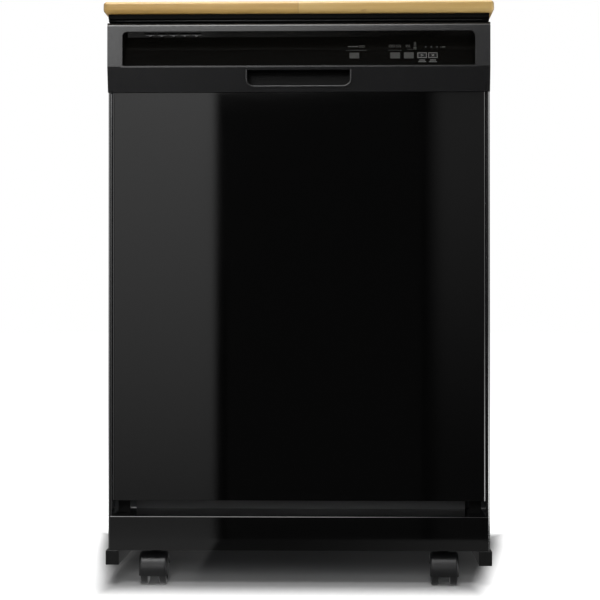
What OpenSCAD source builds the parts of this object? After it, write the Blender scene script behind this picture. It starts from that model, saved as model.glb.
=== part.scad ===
// A portable dishwasher on casters, with a wood worktop, a front-opening door and two racks.
// X runs to the right, Y to the back and Z up. The origin lies on the floor under the worktop's middle.

/* [Worktop] */
// Height from the floor to the worktop's upper face
total_h = 930; // [915:1:950]
// How far the worktop overhangs the cabinet at each side
worktop_side = 5; // [3:0.5:15]
// How far the worktop overhangs the cabinet at the front
worktop_front = 26; // [24:1:30]
// How far the worktop overhangs the cabinet at the back
worktop_back = 12; // [8:1:20]
// Thickness of the wood worktop
worktop_t = 19; // [16:1:26]
// Radius of the worktop's long edges
worktop_edge_r = 4; // [2:0.5:6]
// Height of the black frame under the worktop
trim_h = 12; // [10:1:16]
// How far the black frame stands in from the cabinet's sides
trim_side = 2; // [1:0.5:4]
// Wall of the black frame
trim_t = 3; // [2:0.5:4]

/* [Cabinet] */
// Width across the side panels
cabinet_w = 610; // [590:1:640]
// Depth from the side panels' front edge to their back
cabinet_d = 630; // [610:1:660]
// Thickness of the painted steel sheet
sheet_t = 1.2; // [0.8:0.1:1.5]
// Width of the rolled front edge of a side panel
edge_w = 6; // [5:0.5:7]
// Outer radius of the rolled front edge
edge_r = 5; // [4:0.5:5]
// Depth of the side panel's folds at its front and back
fold_w = 20; // [16:1:22]
// Width of the hose bay in the back
bay_w = 260; // [220:5:300]
// Height of the hose bay
bay_h = 170; // [140:5:180]
// Depth of the hose bay
bay_d = 56; // [50:1:58]
// Distance from the top of the hose bay to the top of the cabinet
bay_drop = 40; // [30:1:60]
// Wall of the moulded plastic pieces
plastic_t = 2.5; // [2:0.1:3]

/* [Connections] */
// Radius of the cord's hole in its gland
cord_r = 4.5; // [3.5:0.1:5.5]
// Radius of the fill spigot
fill_r = 9; // [7:0.5:11]
// Radius of the drain spigot
drain_r = 10.5; // [8:0.5:12]
// Length of a spigot behind the bay's wall
spigot_l = 30; // [24:1:36]
// Radius of a fixing screw's shank
screw_r = 2; // [1.5:0.1:2.5]
// Radius of a fixing screw's head
screw_head_r = 4; // [3.5:0.1:5]

/* [Base] */
// Width of a base rail
rail_w = 21; // [18:1:24]
// Height of a base rail
rail_h = 23; // [18:1:26]
// How far a base rail stands out past the cabinet's side
rail_out = 2; // [1:0.5:3]
// Wall of a base rail
rail_t = 2; // [1.5:0.1:2.5]
// Depth of a crossmember, front to back
cross_d = 80; // [76:1:84]
// Thickness of a crossmember
cross_t = 3; // [2:0.5:4]
// Height of the kick plate
kick_h = 54; // [50:1:58]
// Depth of the ledge on top of the kick plate
ledge_d = 124; // [110:1:125]
// How far the kick plate stands in front of the cabinet's edge
kick_out = 10; // [8:1:12]
// Radius of the kick plate's upper bend
kick_r = 1.5; // [1:0.5:3]

/* [Casters] */
// Radius of a caster wheel
wheel_r = 25; // [23:0.5:27]
// Width of one caster wheel
wheel_w = 11.5; // [10:0.5:13]
// Gap between the two wheels of a caster
wheel_gap = 18; // [16:0.5:20]
// Distance from the caster's stem to its axle
caster_trail = 21; // [18:0.5:22]
// Radius of a caster's stem
stem_r = 5.5; // [4.5:0.1:6.5]
// Length of a caster's stem above the crossmember's underside
stem_l = 31; // [24:1:36]
// Gap between a wheel and the hood's cheek
hood_gap = 0.45; // [0.3:0.05:0.8]
// Thickness of a caster's hood
hood_t = 1.8; // [1.4:0.1:2.2]
// Radius of the hood's shoulders
hood_corner_r = 5; // [3:0.5:6]
// Distance from the cabinet's side in to a caster's stem
caster_side = 73; // [71:1:85]
// Distance from the cabinet's front edge back to a front caster's stem
caster_front = 38; // [36:1:58]
// Distance from the cabinet's back forward to a rear caster's stem
caster_back = 60; // [58:1:72]
// Radius of a caster's axle
axle_r = 3; // [2.5:0.1:4]

/* [Door] */
// Thickness of the door, from its outer face to its liner's face
door_t = 46; // [44:1:48]
// How far the door's face stands in front of the cabinet's edge
door_out = 6; // [5:0.5:7]
// Gap between the door's edge and the side panel
door_side_gap = 2; // [1.5:0.1:2.5]
// Height of the door's lower edge above the ledge
door_rise = 25; // [24:1:28]
// Height of the console along the top of the door
console_h = 110.5; // [108:0.5:118]
// Height of the console's upper flat face
console_face_h = 70.5; // [68:0.5:72]
// How far the console stands in front of the door's face
console_out = 12; // [10:0.5:13]
// How far the console's lower edge stands in front of the door's face
console_foot_out = 3; // [2:0.5:5]
// Radius of the console's upper front edge
console_r = 9; // [6:0.5:11]
// Depth of the door panel's turned-in edges
door_fold = 22; // [18:1:24]
// Radius of the door panel's side edges
door_edge_r = 3; // [2:0.5:4]
// Distance from the door's face back to its pivot
pivot_back = 26; // [25:0.5:27]
// Height of the pivot above the door's lower edge
pivot_rise = 22; // [21:0.5:22.5]
// Radius of the hinge pins
pin_r = 4; // [3:0.1:4.5]

/* [Control recess] */
// Width of the console beside the recess
recess_side = 24; // [22:0.5:34]
// Height of the recess
recess_h = 55; // [50:1:57]
// Depth of the recess at its top
recess_top_d = 30; // [26:1:31]
// Depth of the recess at its bottom
recess_foot_d = 12; // [10:1:14]
// Slope of the recess's side walls and ceiling, in degrees
recess_draft = 11; // [8:1:13]
// Radius of the recess's upper corners
recess_r = 8; // [5:1:12]
// Thickness of the glossy control panel
panel_t = 2.5; // [2:0.1:3]
// Width of a key
key_w = 15.6; // [13:0.2:15.8]
// Height of a key
key_h = 10.4; // [9:0.2:11]
// How far a key stands out of the control panel
key_out = 0.8; // [0.6:0.1:1.2]
// Travel of a key
key_travel = 1; // [0.8:0.1:1.2]
// Gap round a key
key_gap = 0.3; // [0.3:0.05:0.5]
// Number of vent slots in the recess's ceiling
vent_count = 5; // [3:1:6]
// Distance between vent slots
vent_pitch = 18.5; // [16:0.5:19]

/* [Handle pocket] */
// Width of the handle pocket
pocket_w = 166; // [140:1:200]
// Height of the handle pocket
pocket_h = 26.5; // [24:0.5:28]
// Depth of the handle pocket
pocket_d = 33; // [28:1:35]
// Radius of the pocket's lower corners
pocket_r = 12; // [8:1:13]

/* [Tub] */
// Space between the tub and the side panels
tub_side_gap = 24; // [22:1:26]
// Height of the tub's floor above the door's lower edge
tub_rise = 36; // [35:1:40]
// Space between the tub's ceiling and the cabinet's top
tub_top_gap = 15; // [13:1:18]
// Space between the tub's cavity and the cabinet's back
tub_back_gap = 72; // [68:1:84]
// Wall of the tub
tub_t = 2; // [1.5:0.1:2.4]
// Width of the gasket's section
gasket_w = 10; // [8:0.5:11]
// Thickness of the gasket
gasket_t = 5.7; // [5:0.1:7]
// Radius of the sump
sump_r = 85; // [80:1:90]
// Depth of the sump
sump_d = 70; // [60:1:72]
// Radius of the filter
filter_r = 34; // [28:1:36]
// Radius of the wash motor
motor_r = 42; // [36:1:44]
// Radius of the heating rod
heater_r = 4; // [3:0.5:4.5]

/* [Racks] */
// Thickness of a rack wire
wire_t = 4.4; // [3.6:0.2:5]
// Space between a rack and the tub's side
rack_side = 31; // [30:1:36]
// Space between the tub's mouth and a rack's front
rack_front = 32; // [30:1:36]
// Space between a rack's back and the tub's back
rack_back = 25; // [24:1:40]
// Height of the lower rack's floor above the tub's floor
lower_rack_rise = 46; // [45:1:50]
// Height of the lower rack's sides
lower_rack_h = 112; // [100:1:120]
// Height of the upper rack's floor above the tub's floor
upper_rack_rise = 373; // [366:1:380]
// Height of the upper rack's sides
upper_rack_h = 115; // [100:1:120]
// Height of a rack's tines
tine_h = 66; // [50:1:70]
// Radius of a rack wheel
rack_wheel_r = 16; // [14:0.5:17]
// Radius of an upper rack roller
roller_r = 9; // [8:0.5:10]
// Reach of the lower spray arm
lower_arm_r = 205; // [180:1:215]
// Reach of the upper spray arm
upper_arm_r = 190; // [170:1:205]
// Width of a spray arm
arm_w = 30; // [24:1:36]
// Width of the silverware basket
basket_w = 78; // [60:1:84]
// Depth of the silverware basket
basket_d = 300; // [240:5:320]
// Height of the silverware basket
basket_h = 110; // [90:1:111]

/* [Dispenser] */
// Width of the dispenser
dispenser_w = 160; // [140:1:180]
// Height of the dispenser
dispenser_h = 110; // [100:1:120]
// How far the dispenser stands out of the door liner
dispenser_out = 18; // [15:1:20]
// Width of the detergent cup
cup_w = 82; // [70:1:90]
// Height of the detergent cup
cup_h = 70; // [60:1:78]
// Depth of the detergent cup
cup_d = 30; // [24:1:32]
// Radius of the rinse aid cap
cap_r = 15; // [12:0.5:17]

/* [Hidden] */
$fn = 48;
// Running clearance of a shaft in its bore
fit = 0.05;
// Clearance between pieces that pass each other closely
clear = 0.3;
// Small overshoot that keeps cuts clean
eps = 1;

// Heights, from the floor up
hood_r = wheel_r + 3;
caster_collar_h = 4;
base_z = wheel_r + hood_r + caster_collar_h;
ledge_z = base_z + kick_h;
door_bottom_z = ledge_z + door_rise;
tub_floor_z = door_bottom_z + tub_rise;
cab_top_z = total_h - worktop_t - trim_h;
tub_top_z = cab_top_z - tub_top_gap;
console_top_z = cab_top_z - 1.5;
console_foot_z = console_top_z - console_h;
crease_z = console_top_z - console_face_h;
door_top_z = console_foot_z - 0.5;
pivot_z = door_bottom_z + pivot_rise;
liner_z0 = pivot_z - 8;
lower_rack_z = tub_floor_z + lower_rack_rise;
upper_rack_z = tub_floor_z + upper_rack_rise;

// Places front to back
worktop_d = worktop_front + cabinet_d + worktop_back;
worktop_front_y = -worktop_d / 2;
front_y = worktop_front_y + worktop_front;
back_y = front_y + cabinet_d;
face_y = front_y - door_out;
liner_y = face_y + door_t;
gasket_y = liner_y + clear;
tub_front_y = gasket_y + gasket_t;
tub_back_y = back_y - tub_back_gap;
pivot_y = face_y + pivot_back;
kick_y = front_y - kick_out;
access_y = kick_y + ledge_d;
caster_y = [front_y + caster_front, back_y - caster_back];

// Places from side to side
half_w = cabinet_w / 2;
worktop_hw = half_w + worktop_side;
caster_x = half_w - caster_side;
door_hw = half_w - edge_w - door_side_gap;
tub_hw = half_w - tub_side_gap;
flange_hw = door_hw + 0.5;
console_hw = half_w - 0.5;
recess_hw = console_hw - recess_side;
liner_hw = door_hw - sheet_t;

// Helpers
module block(x, y, z) {
  translate([x[0], y[0], z[0]]) cube([x[1] - x[0], y[1] - y[0], z[1] - z[0]]);
}
module rod_x(x, y, z, r) {
  translate([x[0], y, z]) rotate([0, 90, 0]) cylinder(h = x[1] - x[0], r = r);
}
module rod_y(x, y, z, r) {
  translate([x, y[0], z]) rotate([-90, 0, 0]) cylinder(h = y[1] - y[0], r = r);
}
module rod_z(x, y, z, r) {
  translate([x, y, z[0]]) cylinder(h = z[1] - z[0], r = r);
}
// A shape drawn in the plane of Y and Z, drawn out along X
module along_x(x) {
  translate([x[0], 0, 0]) rotate([90, 0, 90]) linear_extrude(x[1] - x[0]) children();
}
// A shape drawn in the plane of X and Z, drawn out along Y
module along_y(y) {
  translate([0, y[1], 0]) rotate([90, 0, 0]) linear_extrude(y[1] - y[0]) children();
}
module both_sides() {
  children();
  mirror([1, 0, 0]) children();
}
// A flat rectangle whose four corners are round
module round_rect(x, y, r) {
  translate([x[0] + r, y[0]]) square([x[1] - x[0] - 2 * r, y[1] - y[0]]);
  translate([x[0], y[0] + r]) square([x[1] - x[0], y[1] - y[0] - 2 * r]);
  for (cx = [x[0] + r, x[1] - r], cy = [y[0] + r, y[1] - r])
    translate([cx, cy]) circle(r);
}
// A flat rectangle with round lower corners
module round_foot_rect(x, y, r) {
  translate([x[0], y[0] + r]) square([x[1] - x[0], y[1] - y[0] - r]);
  translate([x[0] + r, y[0]]) square([x[1] - x[0] - 2 * r, r + eps]);
  for (cx = [x[0] + r, x[1] - r]) translate([cx, y[0] + r]) circle(r);
}

// Worktop of glued wood strips with rounded edges
module worktop() color("burlywood") {
  z = [total_h - worktop_t, total_h];
  intersection() {
    along_x([-worktop_hw, worktop_hw])
      round_rect([worktop_front_y, -worktop_front_y], z, worktop_edge_r);
    along_y([worktop_front_y, -worktop_front_y])
      round_rect([-worktop_hw, worktop_hw], z, worktop_edge_r);
  }
}

// Moulded frame that carries the worktop, an inverted tray with a stepped rim
trim_hw = half_w - trim_side;
trim_front_y = front_y - door_out - console_out + 4;
trim_step = 4;
module top_frame() color("#1b1b1b") {
  z0 = cab_top_z;
  z1 = total_h - worktop_t;
  difference() {
    union() {
      block([-trim_hw, trim_hw], [trim_front_y, back_y + 4], [z0 + trim_step, z1]);
      block([-trim_hw, trim_hw], [trim_front_y + trim_step, back_y], [z0, z0 + trim_step + eps]);
    }
    block([-half_w + fold_w / 2, half_w - fold_w / 2], [front_y + trim_t, back_y - fold_w / 2],
          [z0 - eps, z1 - trim_t]);
  }
}

// Side panels: bent sheets with a rolled front edge and a fold at the back and the top
module side_section() {
  roll_x = half_w - edge_r;
  roll_y = front_y + edge_r;
  translate([half_w - sheet_t, roll_y]) square([sheet_t, back_y - roll_y]);
  intersection() {
    difference() {
      translate([roll_x, roll_y]) circle(edge_r);
      translate([roll_x, roll_y]) circle(edge_r - sheet_t);
    }
    translate([roll_x, front_y - eps]) square([edge_r + eps, edge_r + eps]);
  }
  translate([half_w - edge_w, front_y]) square([edge_w - edge_r + 0.01, sheet_t]);
  translate([half_w - edge_w, front_y]) square([sheet_t, fold_w]);
  translate([half_w - fold_w, back_y - sheet_t]) square([fold_w, sheet_t]);
}
module side_panels() color("#101010") both_sides() difference() {
  union() {
    translate([0, 0, base_z]) linear_extrude(cab_top_z - base_z) side_section();
    block([half_w - fold_w, half_w], [front_y + fold_w + 6, back_y], [cab_top_z - sheet_t, cab_top_z]);
  }
  for (z = back_screw_z)
    rod_y(back_screw_x, [back_y - sheet_t - eps, back_y + eps], z, screw_r + clear);
}

// Back panel with the opening for the hose bay
back_screw_x = half_w - fold_w / 2;
back_screw_z = [base_z + 30, base_z + 290, base_z + 550, cab_top_z - 40];
bay_z1 = cab_top_z - bay_drop;
bay_z0 = bay_z1 - bay_h;
bay_outer_y = back_y - sheet_t;
bay_wall_y = bay_outer_y - bay_d;
bay_lip = 10;
module back_panel() color("#8d9093") difference() {
  block([-half_w + 4, half_w - 4], [back_y - 2 * sheet_t, back_y - sheet_t],
        [base_z + 3, cab_top_z - 2 * sheet_t]);
  block([-bay_w / 2 - plastic_t - clear, bay_w / 2 + plastic_t + clear], [back_y - fold_w, back_y],
        [bay_z0 - plastic_t - clear, bay_z1 + plastic_t + clear]);
  for (x = [-1, 1] * back_screw_x, z = back_screw_z)
    rod_y(x, [back_y - 4 * sheet_t, back_y], z, screw_r + clear);
}

// Bay in the back that holds the connections, a tray with a lip outside the back panel
module hose_bay() color("#1f1f1f") difference() {
  union() {
    block([-bay_w / 2 - plastic_t, bay_w / 2 + plastic_t], [bay_wall_y - plastic_t, bay_outer_y + 1],
          [bay_z0 - plastic_t, bay_z1 + plastic_t]);
    block([-bay_w / 2 - bay_lip, bay_w / 2 + bay_lip], [bay_outer_y, bay_outer_y + plastic_t],
          [bay_z0 - bay_lip, bay_z1 + bay_lip]);
  }
  block([-bay_w / 2, bay_w / 2], [bay_wall_y, back_y + 2 * eps + plastic_t], [bay_z0, bay_z1]);
  rod_y(gland_x, [bay_wall_y - plastic_t - eps, bay_wall_y + eps], gland_z, gland_body_r + fit);
  rod_y(-spigot_x, [bay_wall_y - plastic_t - eps, bay_wall_y + eps], spigot_z, fill_r + fit);
  rod_y(spigot_x, [bay_wall_y - plastic_t - eps, bay_wall_y + eps], spigot_z, drain_r + fit);
}

// Gland of the mains cord
gland_x = bay_w / 2 - 34;
gland_z = bay_z0 + 36;
gland_body_r = cord_r + 4.5;
gland_l = 18;
module cord_gland() color("#2a2a2a") difference() {
  union() {
    rod_y(gland_x, [bay_wall_y - 8, bay_wall_y + gland_l - 8], gland_z, gland_body_r);
    rod_y(gland_x, [bay_wall_y, bay_wall_y + 4], gland_z, gland_body_r + 4);
  }
  rod_y(gland_x, [bay_wall_y - 8 - eps, bay_wall_y + gland_l], gland_z, cord_r);
}

// Fill and drain spigots, each put through the bay's wall with its collar on the wall's face
spigot_x = 44;
spigot_z = bay_z0 + bay_h / 2;
spigot_wall = 2.5;
spigot_collar_t = 3;
module spigot(x, r) {
  difference() {
    union() {
      rod_y(x, [bay_wall_y - 10, bay_wall_y + spigot_l], spigot_z, r);
      rod_y(x, [bay_wall_y, bay_wall_y + spigot_collar_t], spigot_z, r + 5);
    }
    rod_y(x, [bay_wall_y - 10 - eps, bay_wall_y + spigot_l + eps], spigot_z, r - spigot_wall);
  }
}
module hose_spigots() color("#d8d8d4") {
  spigot(-spigot_x, fill_r);
  spigot(spigot_x, drain_r);
}

// Base rails, channels that are open below
rail_front_y = kick_y - 4;
module base_rails() color("#141414") both_sides() {
  x = [half_w + rail_out - rail_w, half_w + rail_out];
  difference() {
    block(x, [rail_front_y, back_y], [base_z - rail_h, base_z]);
    block([x[0] + rail_t, x[1] - rail_t], [rail_front_y + rail_t, back_y - rail_t],
          [base_z - rail_h - eps, base_z - rail_t]);
  }
}

// Crossmembers on the rails, with the caster sockets
cross_hw = half_w - edge_w - clear;
cross_front = 6;
cross_back = 20;
cross_y = [front_y + cross_front, back_y - cross_back - cross_d];
cross_wall_h = 24;
socket_wall = 3.5;
module crossmember(y, stem_y) {
  z1 = base_z + stem_l + 2;
  difference() {
    union() {
      block([-cross_hw, cross_hw], [y, y + cross_d], [base_z, base_z + cross_t]);
      block([-cross_hw + edge_w + fold_w, cross_hw - edge_w - fold_w], [y, y + cross_t],
            [base_z, base_z + cross_wall_h]);
      for (x = [-caster_x, caster_x]) rod_z(x, stem_y, [base_z, z1], stem_r + socket_wall);
    }
    for (x = [-caster_x, caster_x]) rod_z(x, stem_y, [base_z - eps, z1 - 2], stem_r + fit);
  }
}
module crossmembers() color("#3a3c3e") {
  for (i = [0, 1]) crossmember(cross_y[i], caster_y[i]);
}

// Kick plate with the deep ledge on top and a rounded upper bend
kick_hw = half_w - 4;
module kick_plate() color("#121212") difference() {
  z0 = base_z;
  along_x([-kick_hw, kick_hw]) {
    translate([kick_y, z0]) square([sheet_t, ledge_z - z0 - kick_r]);
    intersection() {
      translate([kick_y + kick_r, ledge_z - kick_r]) difference() {
        circle(kick_r);
        circle(kick_r - sheet_t);
      }
      translate([kick_y - eps, ledge_z - kick_r]) square(kick_r + eps);
    }
    translate([kick_y + kick_r, ledge_z - sheet_t]) square([ledge_d - kick_r, sheet_t]);
    translate([kick_y, z0]) square([14, sheet_t]);
  }
  both_sides() block([half_w - edge_w - clear, kick_hw + eps], [front_y - clear, access_y + eps],
                     [z0 - eps, ledge_z + eps]);
}

// Access panel behind the ledge
access_hw = tub_hw - 9;
access_drop = 30;
access_fold = 16;
module access_panel() color("#2c2d2e") {
  z0 = ledge_z - access_drop;
  block([-access_hw, access_hw], [access_y, access_y + sheet_t], [z0, tub_floor_z - tub_t]);
  block([-access_hw, access_hw], [access_y, access_y + access_fold], [z0, z0 + sheet_t]);
}

// Tub: plates a hairline apart, with the front flange, wheel ledges, roller pins and heater pads
weld = 0.05;
wheel_ledge_w = 34;
flange_drop = 18;
tub_flange_z0 = pivot_z - flange_drop;
wheel_ledge_h = 9;
wheel_ledge_z = tub_floor_z + wheel_ledge_h;
pad_r = 5;
module tub() color("#c9ccce") {
  y = [tub_front_y + tub_t + weld, tub_back_y];
  inner = [-tub_hw + weld, tub_hw - weld];
  flange_y = [tub_front_y, tub_front_y + tub_t];
  flange_z1 = tub_top_z + 12;
  both_sides() {
    block([tub_hw, tub_hw + tub_t], [y[0], tub_back_y + tub_t], [tub_floor_z - tub_t, tub_top_z + tub_t]);
    block([tub_hw, flange_hw], flange_y, [tub_flange_z0, flange_z1]);
    block([tub_hw - wheel_ledge_w, tub_hw - weld], [tub_front_y + 4, tub_back_y - weld],
          [tub_floor_z + weld, wheel_ledge_z]);
    for (y = [roller_front_y, roller_rear_y])
      rod_x([roller_x1 - 11, tub_hw - weld], y, roller_z, roller_pin_r);
  }
  difference() {
    union() {
      block(inner, y, [tub_top_z, tub_top_z + tub_t]);
      block(inner, flange_y, [tub_top_z, flange_z1]);
    }
    latch_passage();
  }
  block(inner, [tub_back_y + weld, tub_back_y + tub_t], [tub_floor_z - tub_t, tub_top_z + tub_t]);
  difference() {
    block(inner, y, [tub_floor_z - tub_t, tub_floor_z]);
    rod_z(0, sump_y, [tub_floor_z - tub_t - eps, tub_floor_z + eps], sump_r - sump_t);
    rod_z(float_x, float_y, [tub_floor_z - tub_t - eps, tub_floor_z + eps], float_stem_r + fit);
    for (x = [-1, 1] * heater_foot_x)
      rod_z(x, heater_hd, [tub_floor_z - tub_t - eps, tub_floor_z + eps], heater_r + clear);
  }
  block(inner, flange_y, [tub_flange_z0, tub_floor_z]);
  for (x = [-1, 1] * heater_hw, y = [-1, 1] * heater_hd / 2)
    rod_z(x, y, [tub_floor_z + weld, heater_z - heater_r - clear], pad_r);
}

// Gasket round the tub's mouth, and the seal along its foot between the hinges
gasket_foot_z = pivot_z + 44;
// The foot seal stays behind the circle on which the liner's lower corner swings
foot_seal_y = pivot_y + norm([liner_y - pivot_y, pivot_z - liner_z0]) + clear;
module tub_gasket() color("#5a5d60") {
  y = [gasket_y, tub_front_y];
  both_sides() block([tub_hw, tub_hw + gasket_w], y, [gasket_foot_z, tub_top_z + gasket_w]);
  difference() {
    block([-tub_hw - gasket_w, tub_hw + gasket_w], y, [tub_top_z, tub_top_z + gasket_w]);
    latch_passage();
  }
  block([-hinge_in_x + 6, hinge_in_x - 6], [foot_seal_y, tub_front_y],
        [tub_floor_z - gasket_w, tub_floor_z - 2]);
}

// Sump under the tub's floor, with the spray arm's post and the stubs for the two pumps
sump_y = 40;
sump_t = 2.5;
sump_z1 = tub_floor_z - tub_t;
sump_z0 = sump_z1 - sump_d;
post_r = 8;
pump_z = sump_z0 + 28;
stub_r = 18;
stub_x = sump_r + 12;
module sump() color("#b9bcbe") {
  difference() {
    union() {
      rod_z(0, sump_y, [sump_z0, sump_z1], sump_r);
      rod_z(0, sump_y, [sump_z1 - sump_t, sump_z1], sump_r + 8);
      rod_x([-stub_x, stub_x], sump_y, pump_z, stub_r);
    }
    rod_z(0, sump_y, [sump_z0 + sump_t, sump_z1 + eps], sump_r - sump_t);
    rod_x([-stub_x - eps, stub_x + eps], sump_y, pump_z, stub_r - sump_t);
  }
  rod_z(0, 0, [sump_z0 + 1, lower_arm_z - 12], post_r + 5);
  rod_z(0, 0, [lower_arm_z - 14, lower_arm_z + arm_t + 4], post_r);
}

// Filter: a fine plate over the sump with the cup that stands in it
filter_y = sump_y + 42;
filter_plate_z = tub_floor_z - tub_t;
module filter() color("#9fa4a8") difference() {
  union() {
    rod_z(0, sump_y, [filter_plate_z, filter_plate_z + 3], sump_r - sump_t - clear);
    rod_z(0, filter_y, [sump_z0 + sump_t, filter_plate_z + 8], filter_r);
  }
  rod_z(0, filter_y, [sump_z0 + sump_t + 2, filter_plate_z + 8 + eps], filter_r - 2);
  rod_z(0, 0, [filter_plate_z - eps, filter_plate_z + 4], post_r + 5 + clear);
}

// Wash motor and drain pump, each on its stub of the sump
module wash_motor() color("#7d8184") {
  rod_x([stub_x, stub_x + 16], sump_y, pump_z, stub_r + 12);
  rod_x([stub_x + 15, stub_x + 92], sump_y, pump_z, motor_r - 8);
  rod_x([stub_x + 30, stub_x + 80], sump_y, pump_z, motor_r);
  block([stub_x + 34, stub_x + 74], [sump_y - 30, sump_y + 30], [base_z + cross_t + 4, pump_z]);
}
module drain_pump() color("#3d4a56") {
  rod_x([-stub_x - 22, -stub_x], sump_y, pump_z, stub_r + 8);
  rod_x([-stub_x - 66, -stub_x - 21], sump_y, pump_z, stub_r);
  rod_z(-stub_x - 12, sump_y + 18, [pump_z - 6, pump_z + 34], 8);
}

// Inlet valve on the rear crossmember
valve_x = -150;
module inlet_valve() color("#e2e2de") {
  z = base_z + cross_t;
  y = cross_y[1] + cross_d / 2;
  block([valve_x - 24, valve_x + 24], [y - 20, y + 18], [z, z + 34]);
  rod_z(valve_x, y, [z + 33, z + 62], 13);
  rod_y(valve_x, [y - cross_d / 2 + cross_t + 2, y - 19], z + 16, 8);
}

// Heating rod: one closed loop over the tub's floor with two feet through it
heater_side = 59;
heater_back = 82;
heater_hw = tub_hw - heater_side;
heater_hd = tub_back_y - heater_back;
heater_bend_r = 40;
heater_foot_x = 22;
heater_z = tub_floor_z + 18;
heater_foot_l = 22;
module heater_corner(x, y, a) {
  translate([x, y, heater_z]) rotate([0, 0, a]) rotate_extrude(angle = 90)
    translate([heater_bend_r, 0]) circle(heater_r);
}
module heater() color("#6f7275") {
  ix = heater_hw - heater_bend_r;
  iy = heater_hd - heater_bend_r;
  rod_x([-ix, ix], -heater_hd, heater_z, heater_r);
  for (s = [-1, 1]) rod_y(s * heater_hw, [-iy, iy], heater_z, heater_r);
  for (s = [-1, 1]) {
    x = s > 0 ? [heater_foot_x, ix] : [-ix, -heater_foot_x];
    rod_x(x, heater_hd, heater_z, heater_r);
    rod_z(s * heater_foot_x, heater_hd, [tub_floor_z - heater_foot_l, heater_z], heater_r);
    translate([s * heater_foot_x, heater_hd, heater_z]) sphere(heater_r);
  }
  heater_corner(ix, iy, 0);
  heater_corner(-ix, iy, 90);
  heater_corner(-ix, -iy, 180);
  heater_corner(ix, -iy, 270);
}

// Feed tube up the tub's back wall, with the port that meets the upper rack's tube
feed_d = 12;
feed_w = 32;
port_r = 12;
port_z = upper_rack_z - 10;
manifold_y1 = tub_back_y - feed_d - 9;
module feed_tube() color("#a9adb0") {
  block([-feed_w / 2, feed_w / 2], [tub_back_y - feed_d, tub_back_y], [tub_floor_z, port_z + port_r]);
  block([-feed_w / 2, feed_w / 2], [sump_y + sump_r + 8, tub_back_y], [tub_floor_z, tub_floor_z + 8]);
  rod_y(0, [manifold_y1 + clear, tub_back_y - feed_d + 1], port_z, port_r);
}

// Hinge brackets: a plate on the tub's flange, a lug and the pin on which the door turns
hinge_in_x = tub_hw - 4;
lug_t = 3;
lug_r = 12;
arm_plate_t = 3;
hinge_arm_x = hinge_in_x + lug_t + 3;
module hinge_brackets() color("#0e0e0e") both_sides() {
  block([hinge_in_x - 3, flange_hw - 4], [tub_front_y - 3, tub_front_y], [ledge_z, tub_flange_z0 + 20]);
  block([hinge_in_x, hinge_in_x + lug_t], [pivot_y, tub_front_y - 2], [pivot_z - lug_r, pivot_z + lug_r]);
  rod_x([hinge_in_x, hinge_in_x + lug_t], pivot_y, pivot_z, lug_r);
  rod_x([hinge_in_x + 1, hinge_arm_x + arm_plate_t + 3], pivot_y, pivot_z, pin_r);
}

// Counterbalance springs of the door, beside the tub
spring_r = 6;
spring_l = 140;
module door_springs() color("#9a9da0") both_sides()
  rod_z(tub_hw + 11, access_y + 10, [base_z, base_z + spring_l], spring_r);

// Strike of the door's latch on the tub's flange
strike_hw = 18;
latch_slot = [7, 3.5];
module latch_passage()
  block([-latch_slot[0], latch_slot[0]], [gasket_y - eps, tub_front_y + 14],
        [tub_top_z, latch_z + latch_slot[1]]);
module latch_strike() color("#8b8e90") difference() {
  block([-strike_hw, strike_hw], [tub_front_y + tub_t, tub_front_y + 16], [tub_top_z + tub_t, cab_top_z - 1]);
  latch_passage();
}

// Screws of the back panel and of the cabinet's sides
module screw_y(x, y, z, depth) {
  rod_y(x, [y - depth, y], z, screw_r);
  rod_y(x, [y, y + 1.6], z, screw_head_r);
}
module cabinet_screws() color("#55585a")
  for (x = [-1, 1] * back_screw_x, z = back_screw_z) screw_y(x, back_y, z, 8);

// Overfill float in the tub's front corner
float_x = -tub_hw + 131;
float_y = access_y + 8;
float_r = 12;
float_stem_r = 4;
float_lift = 6;
float_z = tub_floor_z + 2;
module float() color("#e6e6e2") {
  rod_z(float_x, float_y, [float_z, float_z + 30], float_r);
  rod_z(float_x, float_y, [tub_floor_z - 18, float_z + 1], float_stem_r);
}

// Spray arms: a flat blade with a hub and a row of nozzles on each half
arm_t = 12;
lower_arm_z = tub_floor_z + 27;
nozzle_r = 3;
nozzle_in = 30;
module spray_arm(reach, z, bore_r) {
  difference() {
    union() {
      translate([0, 0, z]) linear_extrude(arm_t) {
        square([2 * reach - arm_w, arm_w], center = true);
        for (s = [-1, 1]) translate([s * (reach - arm_w / 2), 0]) circle(arm_w / 2);
      }
      rod_z(0, 0, [z - 4, z + arm_t + 2], 22);
    }
    rod_z(0, 0, [z - 5, z + arm_t + 3], bore_r);
    for (s = [-1, 1], i = [1:4]) {
      x = nozzle_in + i * (reach - 2 * nozzle_in) / 4;
      rod_z(s * x, s * 5, [z + arm_t - 3, z + arm_t + eps], nozzle_r);
    }
  }
}
module lower_spray_arm() color("#aeb2b5") spray_arm(lower_arm_r, lower_arm_z, post_r + fit);
module upper_spray_arm() color("#aeb2b5") spray_arm(upper_arm_r, upper_arm_z, hub_r + fit);

// Door panel: a painted sheet folded in at its sides and foot, with notches for the hinges
module door_panel() color("#0b0b0b") {
  y1 = face_y + door_fold;
  difference() {
    translate([0, 0, door_bottom_z]) linear_extrude(door_top_z - door_bottom_z) difference() {
      union() {
        round_rect([-door_hw, door_hw], [face_y, face_y + 4 * door_edge_r], door_edge_r);
        translate([-door_hw, face_y + door_edge_r]) square([2 * door_hw, y1 - face_y - door_edge_r]);
      }
      translate([-door_hw + sheet_t, face_y + sheet_t]) square([2 * (door_hw - sheet_t), door_fold + eps]);
    }
  }
  block([-hinge_in_x + 6, hinge_in_x - 6], [face_y + 1, y1 - 4], [door_bottom_z, door_bottom_z + sheet_t]);
}

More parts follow.
